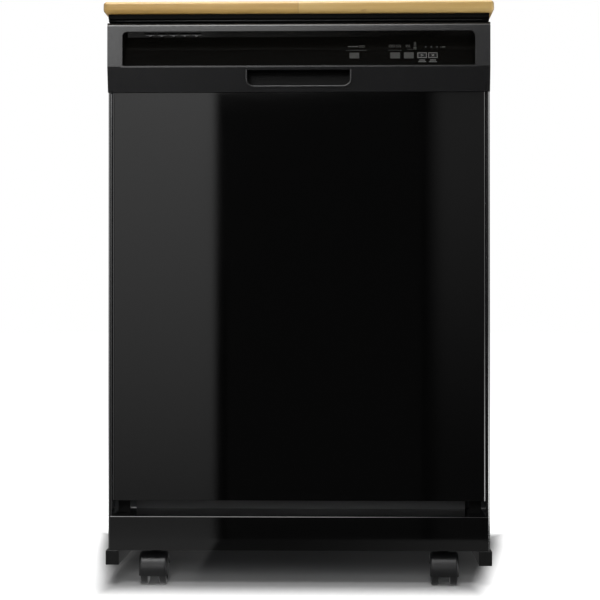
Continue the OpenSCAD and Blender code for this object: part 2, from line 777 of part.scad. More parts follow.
// Door liner: the moulded inner face of the door, a tray with a raised field and notched lower corners
liner_z1 = cab_top_z - 6;
liner_front_y = face_y + door_fold + 0.2;
liner_t = 2.5;
notch_z = pivot_z + 42;
notch_hw = hinge_in_x - 9;
field_out = 3;
field_side = 44;
field_foot = 70;
module liner_outline(grow) {
  block([-liner_hw + grow, liner_hw - grow], [liner_front_y - grow * 2, liner_y - grow],
        [notch_z + grow, liner_z1 - grow]);
  block([-notch_hw + grow, notch_hw - grow], [liner_front_y - grow * 2, liner_y - grow],
        [liner_z0 + grow, notch_z + 2 * grow]);
}
module door_liner() color("#c4c7c9") difference() {
  union() {
    liner_outline(0);
    block([-tub_hw + field_side, tub_hw - field_side], [liner_y - 1, liner_y + field_out],
          [liner_z0 + field_foot, tub_top_z - field_side]);
  }
  liner_outline(liner_t);
  block([-dispenser_w / 2, dispenser_w / 2], [liner_y - 10, liner_y + 10], [dispenser_z0, dispenser_z1]);
  block([-latch_hw, latch_hw], [liner_y - 10, liner_y + eps], [latch_z - latch_h, latch_z + 2]);
  both_sides() block([hinge_arm_x - clear, hinge_arm_x + arm_plate_t + clear],
                     [liner_front_y - eps, pivot_y + lug_r + clear],
                     [notch_z - eps, notch_z + liner_t + eps]);
  for (p = liner_screw_places)
    rod_y(p[0], [liner_y - 9, liner_y + eps], p[1], screw_r + clear);
}

// Console: the moulded top of the door, with the recess and the pocket's opening
console_y = face_y - console_out;
console_foot_y = face_y - console_foot_out;
console_back_y = front_y - 1.3;
console_t = 2.5;
recess_z0 = crease_z + 1;
recess_z1 = recess_z0 + recess_h;
tilt = atan((recess_top_d - recess_foot_d) / recess_h);
module console_section(in) {
  z0 = console_foot_z + in;
  z1 = console_top_z - in;
  r = console_r - in;
  y0 = console_y + in;
  difference() {
    polygon([[console_back_y + eps * in, z0], [console_foot_y + in, z0], [y0, crease_z],
             [y0, z1], [console_back_y + eps * in, z1]]);
    difference() {
      translate([y0 - eps, z1 - r]) square([r + eps, r + eps]);
      translate([y0 + r, z1 - r]) circle(r);
    }
  }
}
// The recess's outline, grown on all sides but the front, and cut off at the control panel's face
module recess_solid(grow) {
  draft = tan(recess_draft);
  hw = recess_hw + grow;
  d = recess_top_d + 20;
  back = [[console_y - 0.01, recess_z0 - grow],
          [console_y + recess_foot_d - grow * tan(tilt), recess_z0 - grow],
          [console_y + recess_top_d + grow * tan(tilt), recess_z1 + grow],
          [console_y - 0.01, recess_z1 + grow]];
  intersection() {
    along_x([-hw, hw]) polygon(back);
    translate([0, 0, recess_z0 - 2 * grow]) linear_extrude(recess_h + 4 * grow)
      polygon([[-hw, console_y - 0.01], [hw, console_y - 0.01],
               [hw - d * draft, console_y + d], [-hw + d * draft, console_y + d]]);
    along_x([-hw, hw])
      polygon([[console_y - 0.01, recess_z0 - 2 * grow], [console_y + d, recess_z0 - 2 * grow],
               [console_y + d, recess_z1 + grow - d * draft], [console_y - 0.01, recess_z1 + grow]]);
    along_y([console_y - 1, console_y + d + 1]) {
      translate([-hw, recess_z0 - grow]) square([2 * hw, recess_h + 2 * grow - recess_r]);
      translate([-hw + recess_r, recess_z0 - grow]) square([2 * (hw - recess_r), recess_h + 2 * grow]);
      for (s = [-1, 1]) translate([s * (hw - recess_r), recess_z1 + grow - recess_r]) circle(recess_r);
    }
  }
}
vent_x0 = -recess_hw + 33.5;
vent_bar = 1.4;
pocket_z0 = console_foot_z + 8;
pocket_z1 = pocket_z0 + pocket_h;
module console() color("#161616") difference() {
  union() {
    difference() {
      along_x([-console_hw, console_hw]) console_section(0);
      along_x([-console_hw + console_t, console_hw - console_t]) console_section(console_t);
    }
    difference() {
      block([-liner_hw, liner_hw], [console_back_y - 2, liner_front_y], [console_foot_z, liner_z1]);
      block([-liner_hw + console_t, liner_hw - console_t], [console_y, liner_front_y + eps],
            [console_foot_z + console_t, liner_z1 - console_t]);
    }
    recess_solid(console_t);
  }
  recess_solid(0);
  for (i = [0:vent_count - 1])
    block([vent_x0 + i * vent_pitch + vent_bar, vent_x0 + (i + 1) * vent_pitch - vent_bar],
          [console_y + 8, console_y + 19], [recess_z1 - 10, recess_z1 + console_t + 2]);
  along_y([console_y - eps, console_back_y])
    round_foot_rect([-pocket_w / 2, pocket_w / 2], [pocket_z0, pocket_z1], pocket_r);
}

// Glossy control panel, tilted, behind the recess's back opening; its face frame carries the keys
panel_h = recess_h / cos(tilt);
module on_panel() {
  translate([0, console_y + recess_foot_d, recess_z0]) rotate([-tilt, 0, 0]) children();
}
key_u = panel_h * 0.32;
// Places of the keys and the lights, from the recess's right end
key_x = [for (x = [191.5, 126.5, 104.5, 83.5, 66.3]) recess_hw - x];
light_x = [for (x = [77.5, 68.5, 59.5]) recess_hw - x];
light_u = panel_h * 0.58;
light_r = 1;
panel_hw = recess_hw - recess_foot_d * tan(recess_draft);
module control_panel() color("#050505") on_panel() difference() {
  block([-panel_hw, panel_hw], [0.02, panel_t], [0.02, panel_h]);
  for (x = key_x)
    block([x - key_w / 2 - key_gap, x + key_w / 2 + key_gap], [-eps, panel_t + eps],
          [key_u - key_h / 2 - key_gap, key_u + key_h / 2 + key_gap]);
  for (x = light_x) rod_y(x, [-eps, panel_t + eps], light_u, light_r + fit);
}

// Keys, each with lips behind the panel above and below, and a stem towards its switch
module key(i) {
  x = key_x[i];
  on_panel() {
    block([x - key_w / 2, x + key_w / 2], [-key_out, panel_t + clear + 0.9],
          [key_u - key_h / 2, key_u + key_h / 2]);
    block([x - key_w / 2, x + key_w / 2], [panel_t + clear, panel_t + clear + 0.9],
          [key_u - key_h / 2 - 1, key_u + key_h / 2 + 1]);
    rod_y(x, [panel_t + 1, board_y - key_travel - 0.2], key_u, 1.5);
  }
}
module cycle_key() color("#707276") key(0);
module temperature_key() color("#707276") key(1);
module dry_key() color("#707276") key(2);
module start_key() color("#33353a") key(3);
module cancel_key() color("#33353a") key(4);

// Indicator lights, short light pipes between the board and the panel
module indicator_lights() color("#d9e6ea") on_panel()
  for (x = light_x) rod_y(x, [0, board_y], light_u, light_r);

// Control board behind the keys, on posts against the panel
board_y = 8;
board_t = 1.6;
board_left = 24;
board_right = 18;
module control_board() color("#1f5a36") on_panel() {
  block([key_x[0] - board_left, key_x[4] + board_right], [board_y, board_y + board_t], [2, panel_h - 6]);
  for (x = [key_x[0] - board_left + 6, key_x[1] - board_left + 2, key_x[4] + board_right - 4])
    rod_y(x, [panel_t, board_y + 0.5], 8, 2.5);
}

// Handle pocket: the cup behind the console's opening
module handle_pocket() color("#0d0d0d") difference() {
  along_y([pocket_back_y - pocket_d + 6, pocket_back_y])
    round_foot_rect([-pocket_w / 2 - plastic_t, pocket_w / 2 + plastic_t],
                    [pocket_z0 - plastic_t, pocket_z1 + plastic_t], pocket_r + plastic_t);
  along_y([pocket_back_y - pocket_d - eps, pocket_back_y - plastic_t])
    round_foot_rect([-pocket_w / 2, pocket_w / 2], [pocket_z0, pocket_z1], pocket_r);
  pocket_front_cut();
}
pocket_back_y = console_y + pocket_d + 4;
// Everything in front of the console's inner skin, so that the cup meets it face to face
module pocket_front_cut()
  along_x([-pocket_w, pocket_w])
    polygon([[console_y - 10, console_foot_z - 10], [console_foot_y + console_t, console_foot_z - 10],
             [console_foot_y + console_t, console_foot_z + console_t], [console_y + console_t, crease_z],
             [console_y + console_t, crease_z + 20],
             [console_y - 10, crease_z + 20]]);

// Door latch at the top of the liner, with the tongue that enters the strike
latch_hw = 26;
latch_h = 16;
latch_z = tub_top_z + 4;
tongue_hw = 4;
module door_latch() color("#2b2b2b") {
  block([-latch_hw + clear, latch_hw - clear], [liner_y - 18, liner_y - 0.4],
        [latch_z - latch_h + clear, latch_z + 2 - clear]);
  block([-tongue_hw, tongue_hw], [liner_y - 1, tub_front_y + 9], [latch_z - 1.5, latch_z + 1.5]);
}

// Dispenser in the liner: a housing with the detergent cup and the seat of the rinse aid cap
dispenser_rise = 272;
dispenser_zc = pivot_z + dispenser_rise;
dispenser_z0 = dispenser_zc - dispenser_h / 2;
dispenser_z1 = dispenser_zc + dispenser_h / 2;
dispenser_y1 = liner_y + dispenser_out;
cup_x = [-dispenser_w / 2 + 8, -dispenser_w / 2 + 8 + cup_w];
cup_z = [dispenser_zc - cup_h / 2 - 4, dispenser_zc + cup_h / 2 - 4];
cap_x = cup_x[1] + (dispenser_w / 2 - cup_x[1]) / 2;
cap_plug_r = 9;
dispenser_d = 20;
module dispenser() color("#e4e5e3") difference() {
  block([-dispenser_w / 2 + clear, dispenser_w / 2 - clear], [liner_y - dispenser_d, dispenser_y1],
        [dispenser_z0 + clear, dispenser_z1 - clear]);
  block(cup_x, [dispenser_y1 - cup_d, dispenser_y1 + eps], cup_z);
  rod_y(cap_x, [dispenser_y1 - 12, dispenser_y1 + eps], dispenser_zc, cap_plug_r + fit);
  block([cup_x[0] - 6, cup_x[1] + 6], [dispenser_y1 - 4, dispenser_y1 + eps],
        [cup_z[1] + 2, cup_z[1] + 11]);
  for (s = [0, 1])
    rod_x([cup_x[s] - 7 - eps, cup_x[s] + 7 + eps], lid_y, lid_z, lid_pin_r + fit);
}

// Lid of the detergent cup, hinged along its upper edge
lid_pin_r = 1.5;
lid_t = 2.5;
lid_y = dispenser_y1 - 1.2;
lid_z = cup_z[1] + 6;
module dispenser_lid() color("#f0f0ee") {
  block([cup_x[0] - 3, cup_x[1] + 3], [dispenser_y1 + clear, dispenser_y1 + clear + lid_t],
        [cup_z[0] - 3, lid_z + 2]);
  block([cup_x[0] - 3, cup_x[1] + 3], [lid_y - 1, dispenser_y1 + clear + 1], [lid_z - 1.3, lid_z + 1.3]);
  rod_x([cup_x[0] - 6.5, cup_x[1] + 6.5], lid_y, lid_z, lid_pin_r);
}

// Rinse aid cap with its grip bar
module rinse_cap() color("#3f6f9c") {
  rod_y(cap_x, [dispenser_y1 - 11, dispenser_y1 + clear + 1], dispenser_zc, cap_plug_r);
  rod_y(cap_x, [dispenser_y1 + clear, dispenser_y1 + clear + 3], dispenser_zc, cap_r);
  block([cap_x - 2, cap_x + 2], [dispenser_y1 + 2, dispenser_y1 + 9],
        [dispenser_zc - cap_r + 3, dispenser_zc + cap_r - 3]);
}

// Hinge arms inside the door, each a plate on its pin with spacers against the liner's side
hinge_arm_l = 170;
module hinge_arms() color("#6c6f72") both_sides() {
  x = [hinge_arm_x, hinge_arm_x + arm_plate_t];
  difference() {
    union() {
      block(x, [pivot_y - lug_r, pivot_y + lug_r], [pivot_z, pivot_z + hinge_arm_l]);
      rod_x(x, pivot_y, pivot_z, lug_r);
    }
    rod_x([x[0] - eps, x[1] + eps], pivot_y, pivot_z, pin_r + fit);
  }
  for (z = [pivot_z + hinge_arm_l - 14, pivot_z + hinge_arm_l - 90])
    rod_x([x[1] - 0.5, liner_hw - liner_t], pivot_y + 4, z, 5);
}

// Screws of the liner, inside the gasket's line
liner_screw_x = tub_hw - 8;
liner_screw_places = concat(
  [for (s = [-1, 1], i = [0:4]) [s * liner_screw_x, notch_z + 26 + i * (tub_top_z - notch_z - 60) / 4]],
  [for (x = [-160, 160]) [x, tub_top_z - 12]]
);
module liner_screws() color("#8f9295") for (p = liner_screw_places) {
  rod_y(p[0], [liner_y - 8, liner_y], p[1], screw_r);
  rod_y(p[0], [liner_y, liner_y + 1.5], p[1], screw_head_r);
}

// Racks: wires bent up at both ends that cross on the floor, two rims round them, and rows of tines.
// Each straight length of wire is a bar of its own, a hairline from the bars that it is welded to
rack_hw = tub_hw - rack_side;
rack_y0 = tub_front_y + rack_front;
rack_y1 = tub_back_y - rack_back;
rack_d = rack_y1 - rack_y0;
// Inner face of the upright wires, from the rack's outside
upright_in = 2 * wire_t + weld;
module wire_rack(z, h, across, lengthways) {
  w = wire_t;
  rim = w + weld;
  for (i = [0:across - 1]) {
    y = rack_y0 + 14 + i * (rack_d - 28 - w) / (across - 1);
    block([-rack_hw + upright_in + weld, rack_hw - upright_in - weld], [y, y + w], [z, z + w]);
    both_sides() block([rack_hw - upright_in, rack_hw - rim], [y, y + w], [z, z + h]);
  }
  for (i = [0:lengthways - 1]) {
    x = -rack_hw + 20 + i * (2 * rack_hw - 40 - w) / (lengthways - 1);
    block([x, x + w], [rack_y0 + upright_in + weld, rack_y1 - upright_in - weld], [z + rim, z + rim + w]);
    block([x, x + w], [rack_y0 + rim, rack_y0 + upright_in], [z + rim, z + h]);
    block([x, x + w], [rack_y1 - upright_in, rack_y1 - rim], [z + rim, z + h]);
  }
  for (rim_z = [z + h / 2, z + h - w]) {
    both_sides() block([rack_hw - w, rack_hw], [rack_y0, rack_y1], [rim_z, rim_z + w]);
    for (y = [rack_y0, rack_y1 - w])
      block([-rack_hw + rim, rack_hw - rim], [y, y + w], [rim_z, rim_z + w]);
  }
}
// A row of tines from front to back on its own wire, x at its middle
module tine_row(x, z, count) {
  w = wire_t - 1;
  y0 = rack_y0 + 10;
  y1 = rack_y1 - 10;
  foot_z = z + wire_t + weld;
  across = [x - w / 2, x + w / 2];
  block(across, [y0, y1], [foot_z, foot_z + w]);
  for (i = [0:count - 1]) {
    y = y0 + 6 + i * (y1 - y0 - 12 - w) / (count - 1);
    block(across, [y, y + w], [foot_z + w + weld, z + wire_t + tine_h]);
  }
}

// Upper rack with the tracks that run on the tub's rollers and the tube of its spray arm
roller_w = 8;
roller_pin_r = 3;
roller_x1 = tub_hw - 6;
roller_z = upper_rack_z + 64;
roller_front_y = tub_front_y + 34;
roller_rear_y = roller_front_y + 48;
track_play = 0.3;
track_t = 2;
track_y1 = tub_back_y - 16;
upper_arm_z = port_z - 28;
hub_r = 8;
manifold_r = 9;
module upper_rack() color("#8b9299") {
  wire_rack(upper_rack_z, upper_rack_h, 12, 9);
  for (side = [-1, 1], x = [rack_hw - 185, rack_hw - 103]) tine_row(side * x, upper_rack_z, 10);
  both_sides() {
    h = roller_r + track_play;
    x0 = rack_hw + track_t;
    block([rack_hw + weld, x0], [rack_y0, track_y1], [roller_z - h - track_t, roller_z + h + track_t]);
    for (z = [roller_z - h - track_t, roller_z + h])
      block([x0 + weld, roller_x1 - 1], [rack_y0 - 4, track_y1], [z, z + track_t]);
  }
  rod_y(0, [hub_r + 5 + weld, manifold_y1], port_z, manifold_r);
  hub_z = upper_arm_z + arm_t + 3;
  rod_z(0, 0, [hub_z, upper_rack_z + wire_t], hub_r + 5);
  rod_z(0, 0, [upper_arm_z - 8, hub_z - weld], hub_r);
  block([-5, 5], [rack_y1 - 30, rack_y1 - 20], [port_z + manifold_r + weld, upper_rack_z + wire_t]);
}

// Rollers on the tub's pins
module roller_pair(y) both_sides() difference() {
  rod_x([roller_x1 - 9, roller_x1 - 9 + roller_w], y, roller_z, roller_r);
  rod_x([roller_x1 - 12, roller_x1 + 2], y, roller_z, roller_pin_r + fit);
}
module front_rollers() color("#e9e9e6") roller_pair(roller_front_y);
module rear_rollers() color("#e9e9e6") roller_pair(roller_rear_y);

// Lower rack with the brackets and pins of its wheels
rack_wheel_z = wheel_ledge_z + rack_wheel_r;
rack_wheel_y = [tub_front_y + 117, rack_y1 - 60];
rack_wheel_w = 9;
rack_pin_r = 3;
module lower_rack() color("#8b9299") {
  wire_rack(lower_rack_z, lower_rack_h, 12, 9);
  for (i = [0:4]) tine_row(-rack_hw + 42 + i * 71.5, lower_rack_z, 12);
  both_sides() for (y = rack_wheel_y) {
    block([rack_hw + weld, rack_hw + 3], [y - 9, y + 9], [rack_wheel_z - 7, lower_rack_z + lower_rack_h / 2]);
    rod_x([rack_hw + 3 + weld, rack_hw + 6 + rack_wheel_w], y, rack_wheel_z, rack_pin_r);
  }
}
module rack_wheel_pair(y) both_sides() difference() {
  rod_x([rack_hw + 4, rack_hw + 4 + rack_wheel_w], y, rack_wheel_z, rack_wheel_r);
  rod_x([rack_hw + 3, rack_hw + 8 + rack_wheel_w], y, rack_wheel_z, rack_pin_r + fit);
}
module front_rack_wheels() color("#e9e9e6") rack_wheel_pair(rack_wheel_y[0]);
module rear_rack_wheels() color("#e9e9e6") rack_wheel_pair(rack_wheel_y[1]);

// Silverware basket with its cells and handle, on the lower rack's floor
basket_x1 = rack_hw - upright_in - 1;
basket_x0 = basket_x1 - basket_w;
basket_y0 = rack_y0 + 60;
basket_z = lower_rack_z + 2 * wire_t + 2 * weld;
basket_cells = 4;
module silverware_basket() color("#7d858c") {
  cell_d = (basket_d - plastic_t) / basket_cells;
  difference() {
    block([basket_x0, basket_x1], [basket_y0, basket_y0 + basket_d], [basket_z, basket_z + basket_h]);
    for (i = [0:basket_cells - 1])
      block([basket_x0 + plastic_t, basket_x1 - plastic_t],
            [basket_y0 + i * cell_d + plastic_t, basket_y0 + (i + 1) * cell_d],
            [basket_z + plastic_t, basket_z + basket_h + eps]);
  }
}

// Casters turned with their axles to the front: a stem, a web with the axle's bore and a hood over the wheels
hood_hw = wheel_gap / 2 + wheel_w + hood_gap + hood_t;
hood_cheek = 2 * hood_corner_r;
hood_skirt_a = 20;
module caster(x, y) translate([x, y, 0]) {
  difference() {
    union() {
      rod_z(0, 0, [base_z - caster_collar_h, base_z + stem_l], stem_r);
      rod_z(0, 0, [wheel_r + 10, base_z - clear], stem_r + 3.2);
      intersection() {
        rod_x([-wheel_gap / 2 + clear, wheel_gap / 2 - clear], -caster_trail, wheel_r, hood_r - 1);
        block([-wheel_gap, wheel_gap], [-2 * hood_r, hood_r], [wheel_r - 9, base_z - clear]);
      }
      translate([0, -caster_trail, wheel_r]) rotate([0, 90, 0]) rotate([0, 0, 90 + hood_skirt_a])
        rotate_extrude(angle = 180) difference() {
          round_half([hood_r - hood_cheek, hood_r], [-hood_hw, hood_hw], hood_corner_r);
          round_half([hood_r - hood_cheek - eps, hood_r - hood_t], [-hood_hw + hood_t, hood_hw - hood_t],
                     hood_corner_r - hood_t);
        }
    }
    rod_x([-wheel_gap, wheel_gap], -caster_trail, wheel_r, axle_r + fit);
  }
}
module wheel_pair(x, y) translate([x, y, 0]) {
  for (s = [-1, 1]) {
    x0 = s > 0 ? wheel_gap / 2 : -wheel_gap / 2 - wheel_w;
    translate([x0, -caster_trail, wheel_r]) rotate([0, 90, 0]) rotate_extrude()
      round_half([0, wheel_r], [0, wheel_w], 2);
  }
  rod_x([-wheel_gap / 2 - 1, wheel_gap / 2 + 1], -caster_trail, wheel_r, axle_r);
}
// Half of a wheel's or a hood's section, with round outer corners
module round_half(r, w, corner) {
  translate([r[0], w[0]]) square([r[1] - r[0] - corner, w[1] - w[0]]);
  translate([r[0], w[0] + corner]) square([r[1] - r[0], w[1] - w[0] - 2 * corner]);
  for (cy = [w[0] + corner, w[1] - corner]) translate([r[1] - corner, cy]) circle(corner);
}
module front_left_caster() color("#1a1a1a") caster(-caster_x, caster_y[0]);
module front_right_caster() color("#1a1a1a") caster(caster_x, caster_y[0]);
module rear_left_caster() color("#1a1a1a") caster(-caster_x, caster_y[1]);
module rear_right_caster() color("#1a1a1a") caster(caster_x, caster_y[1]);
module front_left_wheels() color("#222222") wheel_pair(-caster_x, caster_y[0]);
module front_right_wheels() color("#222222") wheel_pair(caster_x, caster_y[0]);
module rear_left_wheels() color("#222222") wheel_pair(-caster_x, caster_y[1]);
module rear_right_wheels() color("#222222") wheel_pair(caster_x, caster_y[1]);

worktop();
top_frame();
side_panels();
back_panel();
hose_bay();
cord_gland();
hose_spigots();
base_rails();
crossmembers();
kick_plate();
access_panel();
tub();
tub_gasket();
sump();
filter();
wash_motor();
drain_pump();
inlet_valve();
heater();
feed_tube();
hinge_brackets();
door_springs();
latch_strike();
cabinet_screws();
float();
lower_spray_arm();
door_panel();
door_liner();
console();
control_panel();
handle_pocket();
cycle_key();
temperature_key();
dry_key();
start_key();
cancel_key();
indicator_lights();
control_board();
door_latch();
dispenser();
dispenser_lid();
rinse_cap();
hinge_arms();
liner_screws();
upper_rack();
upper_spray_arm();
front_rollers();
rear_rollers();
lower_rack();
front_rack_wheels();
rear_rack_wheels();
silverware_basket();
front_left_caster();
front_right_caster();
rear_left_caster();
rear_right_caster();
front_left_wheels();
front_right_wheels();
rear_left_wheels();
rear_right_wheels();
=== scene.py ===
import math
import bmesh
import bpy
from mathutils import Matrix, Vector


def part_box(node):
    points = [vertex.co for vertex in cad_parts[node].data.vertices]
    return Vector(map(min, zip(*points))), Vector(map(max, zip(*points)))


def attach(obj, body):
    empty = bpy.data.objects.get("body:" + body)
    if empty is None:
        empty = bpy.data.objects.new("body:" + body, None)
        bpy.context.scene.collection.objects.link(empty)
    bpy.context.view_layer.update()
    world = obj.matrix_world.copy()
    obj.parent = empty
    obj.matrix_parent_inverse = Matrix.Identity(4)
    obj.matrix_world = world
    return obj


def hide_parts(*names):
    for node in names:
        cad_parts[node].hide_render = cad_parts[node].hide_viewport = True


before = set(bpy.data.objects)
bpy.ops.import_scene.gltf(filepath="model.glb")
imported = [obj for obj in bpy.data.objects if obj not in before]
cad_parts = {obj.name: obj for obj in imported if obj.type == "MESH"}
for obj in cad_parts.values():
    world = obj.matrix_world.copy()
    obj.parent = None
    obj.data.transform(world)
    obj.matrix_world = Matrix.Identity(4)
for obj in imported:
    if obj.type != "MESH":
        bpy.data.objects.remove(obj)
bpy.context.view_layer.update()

# The studio: a white floor under soft lamps. A gloss black front mirrors what stands before it, so a dark
# curtain hangs there with a grey card at its left, which shows as the pale quarter of the door, and a dim one
# at its right. Cards above and beside the machine light the console and the narrow strips of the cabinet.


class Value:
    """One output of a material's nodes. Python's operators add Math nodes behind it."""

    def __init__(self, nodes, socket):
        self.nodes, self.socket = nodes, socket

    def math(self, operation, *terms, clamp=False):
        return self.nodes.add("ShaderNodeMath", {"operation": operation, "use_clamp": clamp},
                              dict(enumerate(terms)))

    def __add__(self, other):
        return self.math("ADD", self, other)

    __radd__ = __add__

    def __sub__(self, other):
        return self.math("SUBTRACT", self, other)

    def __rsub__(self, other):
        return self.math("SUBTRACT", other, self)

    def __mul__(self, other):
        return self.math("MULTIPLY", self, other)

    __rmul__ = __mul__

    def __gt__(self, other):
        return self.math("GREATER_THAN", self, other)

    def __lt__(self, other):
        return self.math("LESS_THAN", self, other)

    def size(self):
        return self.math("ABSOLUTE", self)

    def smooth(self, low, high, start=0.0, end=1.0):
        """This value eased from start to end while it goes from low to high."""
        return self.nodes.add("ShaderNodeMapRange", {"interpolation_type": "SMOOTHSTEP"},
                              {0: self, 1: low, 2: high, 3: start, 4: end})


class Nodes:
    """A node tree that is written as plain calls."""

    def __init__(self, tree):
        self.tree = tree

    def add(self, kind, settings=None, inputs=None, out=0):
        made = self.tree.nodes.new(kind)
        for name, value in (settings or {}).items():
            if name == "stops":
                while len(made.color_ramp.elements) < len(value):
                    made.color_ramp.elements.new(1)
                for stop, (place, colour) in zip(made.color_ramp.elements, value):
                    stop.position, stop.color = place, (*colour, 1)
            else:
                setattr(made, name, value)
        for name, value in (inputs or {}).items():
            self.plug(made.inputs[name], value)
        return Value(self, made.outputs[out])

    def plug(self, socket, value):
        if isinstance(value, Value):
            self.tree.links.new(value.socket, socket)
        elif isinstance(value, tuple) and len(value) == 3 and socket.type == "RGBA":
            socket.default_value = (*value, 1)
        else:
            socket.default_value = value


class Finish(Nodes):
    """A material whose pattern follows the object's own coordinates, in metres."""

    def __init__(self, name):
        self.material = bpy.data.materials.new(name)
        self.material.use_nodes = True
        super().__init__(self.material.node_tree)
        self.tree.nodes.clear()
        self.place = self.add("ShaderNodeTexCoord", out="Object")
        self.x, self.y, self.z = (
            self.add("ShaderNodeSeparateXYZ", inputs={0: self.place}, out=axis) for axis in "XYZ")

    def stretched(self, scale, place=None):
        """The place scaled along each axis, for grain and brushing."""
        return self.add("ShaderNodeMapping", inputs={"Vector": place or self.place, "Scale": scale})

    def noise(self, scale, place=None, detail=2.0, roughness=0.5):
        return self.add("ShaderNodeTexNoise", inputs={
            "Vector": place or self.place, "Scale": scale, "Detail": detail, "Roughness": roughness})

    def mix(self, share, first, second):
        """A colour between two colours."""
        return self.add("ShaderNodeMix", {"data_type": "RGBA"}, {0: share, 6: first, 7: second}, out=2)

    def bump(self, height, depth, strength=1.0):
        return self.add("ShaderNodeBump", inputs={"Height": height, "Distance": depth, "Strength": strength})

    def shade(self, **inputs):
        """Ends the material in its shader; the names are the shader's sockets with _ for a space."""
        shader = self.add("ShaderNodeBsdfPrincipled",
                          inputs={name.replace("_", " "): value for name, value in inputs.items()})
        end = self.tree.nodes.new("ShaderNodeOutputMaterial")
        self.tree.links.new(shader.socket, end.inputs["Surface"])
        return self.material


def linear(*rgb):
    """A colour as a picture gives it, 0 to 255, in the renderer's own scale."""
    return tuple(c / 255 / 12.92 if c < 11 else ((c / 255 + 0.055) / 1.055) ** 2.4 for c in rgb)


def mesh_object(name, mesh):
    made = bpy.data.objects.new(name, mesh)
    bpy.context.scene.collection.objects.link(made)
    return made


def board(name, corners, material):
    """A flat stage piece through four corners."""
    mesh = bpy.data.meshes.new(name)
    mesh.from_pydata(corners, [], [(0, 1, 2, 3)])
    mesh.materials.append(material)
    made = mesh_object(name, mesh)
    return made


camera = bpy.data.objects.new("camera", bpy.data.cameras.new("camera"))
camera.location = (0.082, -3.300, 0.432)
camera.rotation_euler = (math.radians(90.45), 0, math.radians(1.528))
camera.data.lens, camera.data.sensor_width = 112.5, 36
bpy.context.scene.collection.objects.link(camera)
bpy.context.scene.camera = camera
bpy.context.scene.view_settings.view_transform = "Standard"


def level(x0, x1, y0, y1, z):
    return [(x0, y0, z), (x1, y0, z), (x1, y1, z), (x0, y1, z)]


def upright(x0, x1, y, z0, z1):
    return [(x0, y, z0), (x1, y, z0), (x1, y, z1), (x0, y, z1)]


# The floor glows white for the camera past a soft edge drawn around the machine, so its shadow ends there and
# the floor beyond is as white as the air. Under the machine the floor's colour is darkened as painted shade,
# most under the back and at the left.
SHADOW_SIDE, SHADOW_FRONT, SHADOW_BACK = (0.318, 0.372), (0.29, 0.50), (0.33, 0.50)
SHADOW_CENTRE, SHADOW_SPREAD = -0.0125, 0.13
FLOOR_HALF = 40
ground = Finish("white floor")
seen = ground.add("ShaderNodeLightPath", out="Is Camera Ray")
far = ((ground.x - SHADOW_CENTRE).size() - ground.y * SHADOW_SPREAD).smooth(*SHADOW_SIDE)
for past in ((0 - ground.y).smooth(*SHADOW_FRONT), ground.y.smooth(*SHADOW_BACK)):
    far = far.math("MAXIMUM", far, past)
# Painted shade: the floor's colour is mixed towards black under the machine, most under the back and at the
# left.
painted_shade = ground.y.smooth(-0.19, 0.02, 0.0, 0.45) * (0 - ground.x).smooth(0.12, 0.27, 1.0, 1.6) * (1 - far)
ground.shade(Base_Color=ground.mix(painted_shade, linear(245, 245, 245), (0, 0, 0)), Roughness=0.9,
             Specular_IOR_Level=0.1, Emission_Color=(1, 1, 1), Emission_Strength=seen * far)
floor = board("floor", level(-FLOOR_HALF, FLOOR_HALF, -FLOOR_HALF, FLOOR_HALF, 0), ground.material)
floor.visible_glossy = False


def glow(name, corners, strength):
    """A card that only mirrors see; strength is a function of the finish and may follow its x, y or z."""
    finish = Finish(name)
    emission = finish.add("ShaderNodeEmission", inputs={"Strength": strength(finish)})
    end = finish.tree.nodes.new("ShaderNodeOutputMaterial")
    finish.tree.links.new(emission.socket, end.inputs["Surface"])
    card = board(name, corners, finish.material)
    card.visible_camera = card.visible_diffuse = card.visible_shadow = False
    card.visible_transmission = False


CURTAIN_Y, CURTAIN_FOOT, CURTAIN_HALF = -6.4, -1.6, 9
CARD_Y, CARD_FOOT, CARD_TOP = -6.2, -1.2, 1.49
NEAR_Y, NEAR_HALF = -0.94, 1.2
glow("dark_curtain", upright(-CURTAIN_HALF, CURTAIN_HALF, CURTAIN_Y, CURTAIN_FOOT, 9.5), lambda f: 0.03)
glow("dark_ground", [(-CURTAIN_HALF, CURTAIN_Y, CURTAIN_FOOT), (CURTAIN_HALF, CURTAIN_Y, CURTAIN_FOOT),
                     (CURTAIN_HALF, NEAR_Y, 0.0004), (-CURTAIN_HALF, NEAR_Y, 0.0004)], lambda f: 0.02)
glow("near_ground", level(-NEAR_HALF, NEAR_HALF, NEAR_Y, NEAR_HALF, 0.0005),
     lambda f: f.x.smooth(-0.05, 0.4, 0.07, 0.28) + f.x.smooth(-0.18, -0.165, 0.36, 0.0))
glow("grey_card", upright(-2.2, -0.50, CARD_Y, CARD_FOOT, CARD_TOP),
     lambda f: (f.z * 0.415 + 0.5 + f.z.smooth(-1.0, -0.45, 0.6, 0.0)) * f.x.smooth(-0.58, -0.53, 1.0, 0.0))
glow("dim_card", upright(0.42, 1.3, CARD_Y, CARD_FOOT, CARD_TOP),
     lambda f: f.z.smooth(-0.4, 1.6, 0.04, 0.28) * f.x.smooth(0.42, 0.54))
glow("upper_card", upright(-2.6, 1.2, -5.0, 2.5, 3.4), lambda f: f.x.smooth(-0.3, 0.5, 5.0, 0.1))
glow("console_card", upright(-2.6, 0.9, -6.1, 1.50, 2.7), lambda f: f.x.smooth(-0.35, 0.5, 4.5, 0.0))
glow("overhead_card", level(-1.6, 1.6, -2.3, 1.5, 3),
     lambda f: f.x.smooth(-0.1, 0.55, 12.0, 0.8) * f.y.smooth(-0.6, 0.0, 1.0, 0.0)
     + f.x.smooth(-0.4, 0.9, 5.0, 3.0) * f.y.smooth(-0.6, 0.0))


def beside_card(name, x, strength):
    glow(name, [(x, -2.6, -1), (x, 0.6, -1), (x, 0.6, 2), (x, -2.6, 2)], strength)


